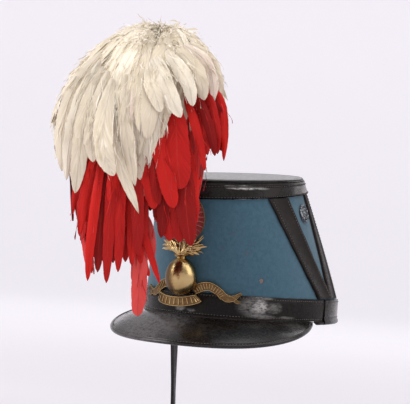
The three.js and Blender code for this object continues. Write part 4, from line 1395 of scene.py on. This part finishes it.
def featherFinish(name, look):
    vane = Finish(name, {"Roughness": look["rough"], "Sheen Weight": look["sheen"], "Sheen Roughness": 0.4,
                         "Specular IOR Level": look["shine"]})
    across, along = vane.split(vane.node("ShaderNodeUVMap", {"uv_map": "UVMap"}))[:2]
    tone = vane.carried("tone")
    side = abs(across - 0.5) * 2
    barb = along * 62 - side * 16
    lines = vane.node("ShaderNodeCombineXYZ", None, {0: barb, 1: side * 1.2, 2: tone * 37})
    clumps = vane.node("ShaderNodeCombineXYZ", None, {0: barb * 0.18, 1: side * 1.0, 2: tone * 53})
    streak, tuft = vane.cloud(lines, 1.0, 3, 0.6), vane.cloud(clumps, 1.0, 2)
    colour = vane.blend(vane.step(streak, 0.3, 0.7), look["low"], look["high"])
    colour = vane.blend(vane.step(tuft + tone * 0.5 - 0.25, 0.35, 0.65) * 0.6, colour, look["tint"])
    colour = vane.blend((1 - vane.step(tone, 0.1, 0.5)) * 0.75, colour, look["deep"])
    colour = vane.blend(vane.step(tone, 0.55, 0.8) * 0.6, colour, look["bright"])
    colour = vane.blend(vane.step(tone, 0.9, 0.95) * (tuft * 0.5 + 0.4), colour, look["pale"])
    # the root end is darker: grey down, and painted shade where the roots lie under other feathers
    root = 1 - vane.step(along, 0.05, 0.35)
    colour = vane.blend(root * look["rootDownAndShade"], colour, look["rootDownAndShadeColour"])
    shaft = 1 - vane.step(side, 0.03, 0.09)
    colour = vane.blend(shaft * 0.35, colour, look["shaft"])
    vane.feed("Base Color", colour)
    fray = side + (streak - 0.5) * look["fray"] + (tuft - 0.5) * look["split"]
    fray = fray + vane.step(along, 0.86, 1) * 0.12
    vane.feed("Alpha", 1 - vane.step(fray, 0.9, 0.97))
    vane.relief(streak * 0.6 + tuft * 0.4 + shaft, look["relief"])
    return vane


# low and high are the barbs' streaks, deep, bright and pale the tone of a whole feather; the root colour is
# grey down with painted shade
featherLooks = {
    "white": {
        "rough": 0.7, "sheen": 0.3, "shine": 0.3, "low": rgb(0.67, 0.56, 0.4), "high": rgb(0.94, 0.86, 0.7),
        "tint": rgb(0.74, 0.64, 0.47), "rootDownAndShade": 0.35, "rootDownAndShadeColour": rgb(0.56, 0.5, 0.41),
        "deep": rgb(0.68, 0.58, 0.43), "bright": rgb(0.93, 0.86, 0.72), "pale": rgb(0.88, 0.7, 0.6),
        "shaft": rgb(0.8, 0.72, 0.58), "fray": 0.3, "split": 0.25, "relief": 0.4 * mm,
        "fluff": (rgb(0.7, 0.62, 0.49), rgb(0.94, 0.88, 0.76)),
    },
    "red": {
        "rough": 0.5, "sheen": 0.0, "shine": 0.14, "low": rgb(0.34, 0.007, 0.006),
        "high": rgb(0.55, 0.014, 0.01), "tint": rgb(0.46, 0.009, 0.007), "rootDownAndShade": 0.2,
        "rootDownAndShadeColour": rgb(0.3, 0.01, 0.01),
        "deep": rgb(0.17, 0.003, 0.003), "bright": rgb(0.68, 0.018, 0.012), "pale": rgb(0.7, 0.1, 0.09),
        "shaft": rgb(0.5, 0.03, 0.022), "fray": 0.22, "split": 0.16, "relief": 0.2 * mm,
        "fluff": (rgb(0.24, 0.005, 0.004), rgb(0.66, 0.02, 0.015)),
    },
}
# a bed of feathers: length, width, flick and blunt are ranges. Topmost tips end at topTip of the way down,
# and the roots leave a parting at the crest. drop is how far the bed's crest is below the plume's top
whiteStyle = {
    "layers": 4, "each": 5, "length": (0.1, 0.14), "topTip": 0.7, "spread": 18, "gather": 0.4,
    "width": (17 * mm, 27 * mm), "thick": 7 * mm, "flick": (-3 * mm, 4 * mm), "blunt": (0.45, 0.8),
    "slim": 0.5, "full": 1.5, "parting": 28, "partWidth": 9 * mm, "partLength": 52 * mm, "ridge": 3 * mm,
    "drop": 0.0, "strands": 120, "strandReach": 0.62, "barbs": 16,
}
redStyle = {
    "layers": 3, "each": 7, "length": (0.1, 0.15), "topTip": 0.8, "spread": 15, "gather": 0.46,
    "width": (13 * mm, 23 * mm), "thick": 6 * mm, "flick": (-4 * mm, 3 * mm), "blunt": (0.32, 0.6),
    "slim": 0.55, "full": 1.5, "parting": 28, "partWidth": 6 * mm, "partLength": 40 * mm, "ridge": 0.0,
    "drop": 24 * mm, "strands": 16, "strandReach": 0.75, "barbs": 5,
}
# single feathers are the width in mm, how pointed, the shade and the line from root to tip
whiteSingles = [
    (24, 0.75, None, [(118, 70, 48), (112, 115, 64), (120, 165, 70), (138, 214, 68)]),
    (18, 0.6, None, [(126, 74, 54), (124, 115, 68), (128, 150, 72), (134, 186, 70)]),
    (22, 0.5, None, [(112, 78, 56), (103, 120, 72), (104, 155, 78), (113, 176, 76)]),
    (18, 0.5, None, [(108, 70, 50), (95, 110, 64), (90, 140, 68), (92, 162, 66)]),
    (21, 0.5, None, [(104, 66, 44), (88, 105, 62), (80, 150, 66), (75, 193, 60)]),
    (18, 0.6, None, [(100, 60, 36), (80, 98, 50), (69, 140, 52), (66, 180, 48)]),
    (18, 0.5, None, [(100, 52, 28), (74, 86, 38), (61, 128, 40), (61, 171, 36)]),
    (19, 0.5, None, [(152, 58, 54), (162, 76, 66), (172, 98, 72), (181, 117, 72)]),
    (17, 0.5, None, [(148, 62, 56), (150, 80, 66), (155, 96, 72), (160, 112, 72)]),
    (16, 0.6, None, [(158, 56, 52), (164, 74, 64), (169, 94, 70), (171, 114, 70)]),
    (18, 0.5, None, [(166, 50, 48), (178, 66, 60), (188, 84, 66), (192, 106, 66)]),
    (17, 0.5, None, [(176, 48, 44), (192, 62, 58), (202, 82, 64), (204, 100, 62)]),
    (15, 0.6, None, [(184, 44, 34), (204, 58, 46), (214, 80, 50), (214, 104, 46)]),
    (14, 0.6, None, [(190, 42, 24), (210, 58, 36), (219, 84, 40), (220, 114, 36)]),
]
redSingles = [
    (26, 0.33, 0.56, [(174, 96, 56), (176, 125, 64), (178, 158, 66), (181, 189, 62)]),
    (19, 0.36, 0.7, [(152, 104, 54), (158, 140, 64), (166, 176, 66), (173, 208, 62)]),
    (15, 0.45, 0.3, [(146, 110, 50), (148, 140, 60), (154, 172, 62), (158, 205, 58)]),
    (15, 0.5, 0.75, [(184, 130, 48), (190, 165, 54), (193, 195, 54), (195, 225, 48)]),
    (22, 0.45, 0.2, [(180, 140, 50), (184, 178, 58), (187, 214, 58), (191, 246, 52)]),
    (18, 0.4, 0.4, [(174, 145, 46), (177, 180, 52), (179, 212, 52), (180, 242, 48)]),
    (18, 0.4, 0.6, [(170, 150, 46), (172, 185, 50), (171, 214, 50), (170, 241, 46)]),
    (16, 0.5, 0.1, [(160, 150, 46), (164, 185, 52), (164, 212, 52), (162, 238, 48)]),
    (17, 0.4, None, [(140, 130, 52), (146, 160, 60), (151, 186, 60), (155, 209, 56)]),
    (16, 0.33, 1.0, [(143, 225, 40), (141, 255, 46), (140, 288, 46), (138, 316, 42)]),
    (8, 0.6, 1.0, [(138, 215, 38), (139, 240, 40), (135, 262, 40), (132, 280, 38)]),
    (13, 0.5, 1.0, [(140, 205, 40), (147, 225, 44), (150, 245, 44), (150, 262, 42)]),
    (9, 0.6, 0.7, [(140, 215, 44), (146, 240, 48), (152, 262, 48), (159, 284, 46)]),
    (11, 0.5, 0.8, [(134, 210, 42), (138, 236, 46), (143, 260, 46), (150, 276, 44)]),
    (12, 0.6, 0.7, [(184, 92, 52), (193, 118, 60), (200, 145, 60), (205, 171, 56)]),
    (12, 0.5, 0.1, [(192, 86, 48), (202, 108, 56), (210, 132, 56), (214, 156, 52)]),
    (12, 0.5, 0.45, [(204, 84, 44), (212, 106, 50), (217, 130, 50), (218, 154, 46)]),
    (11, 0.6, 0.85, [(212, 84, 38), (222, 104, 44), (225, 132, 44), (224, 161, 40)]),
    (13, 0.5, 0.3, [(196, 88, 44), (206, 110, 50), (212, 134, 50), (211, 149, 48)]),
    (12, 0.5, 0.15, [(208, 86, 38), (217, 108, 44), (222, 130, 44), (222, 151, 40)]),
    (12, 0.5, 0.5, [(188, 90, 46), (198, 112, 54), (205, 134, 54), (208, 155, 50)]),
]


def fannedReds():
    # the long cluster on the wearer's right, fanned out from under the white: tip x and y, width and shade
    tips = [
        (73, 211, 10, 0.65), (79, 236, 11, 0.75), (88, 281, 11, 0.8), (91, 262, 15, 0.3),
        (97, 272, 15, 0.15), (106, 283, 13, 0.4), (103, 262, 14, 0.7), (112, 263, 14, 0.2),
        (117, 272, 13, 0.5), (124, 262, 15, 0.35), (131, 266, 12, 0.75), (137, 256, 15, 0.3),
        (143, 250, 13, 0.6), (84, 222, 14, 0.85), (110, 232, 15, 0.8), (126, 236, 15, 0.6),
    ]
    rows = []
    for i, (x, y, width, shade) in enumerate(tips):
        start, top, deep = 98 + (x - 73) * 0.58, 132, 50 + i % 3 * 5
        rows.append((width, 0.45, shade, [
            (start, top, deep - 8), (mix(start, x, 0.45), mix(top, y, 0.33), deep),
            (mix(start, x, 0.8), mix(top, y, 0.68), deep), (x, y, deep - 6)]))
    return rows


def newFeathers():
    bm = bmesh.new()
    bm.loops.layers.uv.new("UVMap")
    return bm, bm.verts.layers.float.new("tone")


def plumePieces():
    dice = random.Random(7)
    for colour, style, locks, singles in (("white", whiteStyle, whiteLocks, whiteSingles),
                                          ("red", redStyle, redLocks, redSingles + fannedReds())):
        crest = plume["top"] - style["drop"] - 0.4 * style["thick"]
        bm, tone = newFeathers()
        loose, looseTone = newFeathers()
        featherBed(bm, tone, locks, crest, dice, style)
        singleFeathers(bm, tone, loose, looseTone, singles, dice, style)
        strandBed(loose, looseTone, locks, crest, dice, style)
        if colour == "white":
            downTufts(loose, looseTone, dice)
        look = featherLooks[colour]
        piece("plume_%s_feathers" % colour, bm, [featherFinish(colour + "Feather", look)],
              colour + "_feather", ["plume_" + colour], sharp=180)
        piece("plume_%s_strands" % colour, loose, [fluffFinish(colour + "Fluff", *look["fluff"])],
              colour + "_feather", sharp=180)


def downTufts(bm, tone, dice):
    # short fluff in the parting and round the crest
    for i in range(1100):
        if i % 2:
            turn = whiteStyle["parting"] + dice.uniform(-16, 16)
            distance = dice.uniform(0, 60) * mm
            sink = dice.uniform(2, 7) * mm * clamp(1 - distance / 0.08)
        else:
            turn, distance, sink = dice.uniform(-180, 180), dice.uniform(0, 34) * mm, dice.uniform(0, 8) * mm
        angle = distance / (plume["dome"] * 0.9)
        height = plume["top"] - plume["dome"] * (1 - math.cos(angle)) - sink
        root = plumePoint(turn, 0.9 * math.sin(angle), height, math.cos(angle) ** 2)
        swing = math.radians(turn + dice.uniform(-80, 80))
        way = Vector((math.sin(swing), -math.cos(swing), dice.uniform(-0.5, 0.8))).normalized()
        length = dice.uniform(10, 22) * mm
        droop = Vector((0, 0, -1)) * length * dice.uniform(0.1, 0.6)
        line = [root + way * length * k / 6 + droop * (k / 6) ** 2 for k in range(7)]
        outward = Vector((math.sin(swing) * 0.4, -math.cos(swing) * 0.4, 1)).normalized()
        strand(bm, tone, [(point, outward) for point in line], width=dice.uniform(0.3, 0.9) * mm,
               tipLift=dice.uniform(-3, 3) * mm, roll=dice.uniform(-60, 60), swing=dice.uniform(-6, 6) * mm,
               shade=dice.uniform(0, 0.75))


def plumeCore():
    # the feathers' packed inner ends, seen only in gaps
    profile = [(0, 8), (0.16, 10), (0.36, 19), (0.48, 36), (0.52, 54), (0.52, 76), (0.46, 98), (0.36, 118),
               (0.2, 132), (0.1, 138), (0, 139)]

    def seat(co):
        drop, turn = -co.z / mm, math.degrees(math.atan2(co.x, -co.y))
        lean = clamp(1 - drop / 90) ** 1.5
        point = plumePoint(turn, math.hypot(co.x, co.y), plume["top"] - drop * mm, lean)
        return point + Vector((0, 0, rough(point, "fluff")))

    bm = turned(profile, counts["core"], seat, 1, -mm)
    inner = Finish("packedFluff", {"Roughness": 0.9, "Sheen Weight": 0.3})
    place = inner.place()
    strands = inner.cloud(inner.stretched(place, (1, 1, 0.15)), 420, 3, 0.6)
    height = inner.split(place)[2] + (inner.cloud(place, 60, 3) - 0.5) * 0.05
    white = inner.blend(strands, rgb(0.42, 0.37, 0.3), rgb(0.74, 0.67, 0.56))
    red = inner.blend(strands, rgb(0.16, 0.004, 0.004), rgb(0.42, 0.012, 0.01))
    inner.feed("Base Color", inner.blend(inner.step(height, 0.165, 0.185), red, white))
    inner.relief(strands, 2 * mm)
    piece("plume_core", bm, [inner], "red_feather", sharp=180)


plumeCore()
plumePieces()


def stemPiece():
    foot = atHeight(0, cockade["height"] - cockade["diameter"] * 0.3, stemWire["out"])
    edge = atHeight(0, body["frontHeight"], stemWire["out"])
    head = plumePoint(0, 0, plume["top"] - 0.12 * plume["length"], 1)
    above = edge.lerp(head, 0.3) + Vector((0, 8 * mm, 6 * mm))
    count = counts["wire"]
    line = smoothThrough([foot, foot.lerp(edge, 0.5), edge, above, head], count)

    def place(share, first, second):
        k = int(round(share * count))
        forward = (line[min(k + 1, count)] - line[max(k - 1, 0)]).normalized()
        side = Vector((1, 0, 0))
        behind = side.cross(forward)
        radius = stemWire["diameter"] / 2 * (1 + 0.05 * math.sin(k * 2.1))
        return line[k] + (side * first + behind * second) * radius

    wound = Finish("threadWound", {"Roughness": 0.8})
    wound.feed("Base Color", wound.blend(wound.cloud(wound.place(), 400, 3), rgb(0.06, 0.05, 0.04),
                                         rgb(0.14, 0.11, 0.085)))
    piece("plume_wire", sweep(roundSection(12), count, place), [wound], "stem_wire", ["plume_stem"])


stemPiece()

# studio: pale floor that curves up all round, large soft lights
studio = {
    "floor": -0.125, "world": rgb(0.98, 0.96, 1.0), "worldStrength": 0.5, "glow": 0.4,
    "aim": Vector((-0.02, -0.07, 0.09)),
    "lights": [
        # azimuth, elevation, distance, width, height, watts
        (100, 32, 1.7, 1.0, 1.3, 8.5), (-42, 28, 1.8, 0.9, 1.3, 17), (30, 74, 1.6, 1.6, 1.6, 13),
        (200, 40, 1.9, 1.2, 1.2, 7),
    ],
}


def makeStudio():
    bm = bmesh.new()
    profile = [(0, 0), (2.6, 0), (3.1, 0.05), (3.5, 0.2), (3.8, 0.5), (3.95, 0.85), (4.0, 1.3)]
    line = [bm.verts.new((radius, 0, height + studio["floor"])) for radius, height in profile]
    edges = [bm.edges.new(pair) for pair in zip(line, line[1:])]
    bmesh.ops.spin(bm, geom=line + edges, cent=(0, 0, 0), axis=(0, 0, 1), angle=math.tau,
                   steps=counts["floor"], use_merge=True)
    bmesh.ops.remove_doubles(bm, verts=bm.verts, dist=1e-6)
    mesh = bpy.data.meshes.new("floor")
    bm.to_mesh(mesh)
    bm.free()
    mesh.shade_smooth()
    paper = Finish("paleFloor", {"Roughness": 0.9, "Emission Strength": studio["glow"]})
    x, y = paper.split(paper.place())[:2]
    away = (x ** 2 + y ** 2) ** 0.5
    glow = paper.blend(paper.step(away, 0.2, 2.2), rgb(0, 0, 0), rgb(0.97, 0.955, 0.99))
    paper.feed("Emission Color", glow)
    paper.feed("Base Color", paper.blend(paper.cloud(paper.place(), 3, 2), rgb(0.68, 0.65, 0.69),
                                         rgb(0.7, 0.67, 0.71)))
    mesh.materials.append(paper.material)
    floor = bpy.data.objects.new("floor", mesh)
    bpy.context.scene.collection.objects.link(floor)
    world = bpy.data.worlds.new("studioAir")
    world.use_nodes = True
    world.node_tree.nodes["Background"].inputs[0].default_value = studio["world"]
    world.node_tree.nodes["Background"].inputs[1].default_value = studio["worldStrength"]
    bpy.context.scene.world = world
    for number, (azimuth, elevation, distance, wide, tall, watts) in enumerate(studio["lights"]):
        back = direction(azimuth, elevation)
        data = bpy.data.lights.new("softbox%d" % number, "AREA")
        data.shape = "RECTANGLE"
        data.size, data.size_y, data.energy = wide, tall, watts
        lamp = bpy.data.objects.new(data.name, data)
        lamp.location = studio["aim"] + back * distance
        lamp.rotation_euler = back.to_track_quat("Z", "Y").to_euler()
        bpy.context.scene.collection.objects.link(lamp)


makeStudio()
bpy.context.scene.view_settings.view_transform = "Standard"
print("studio ready")
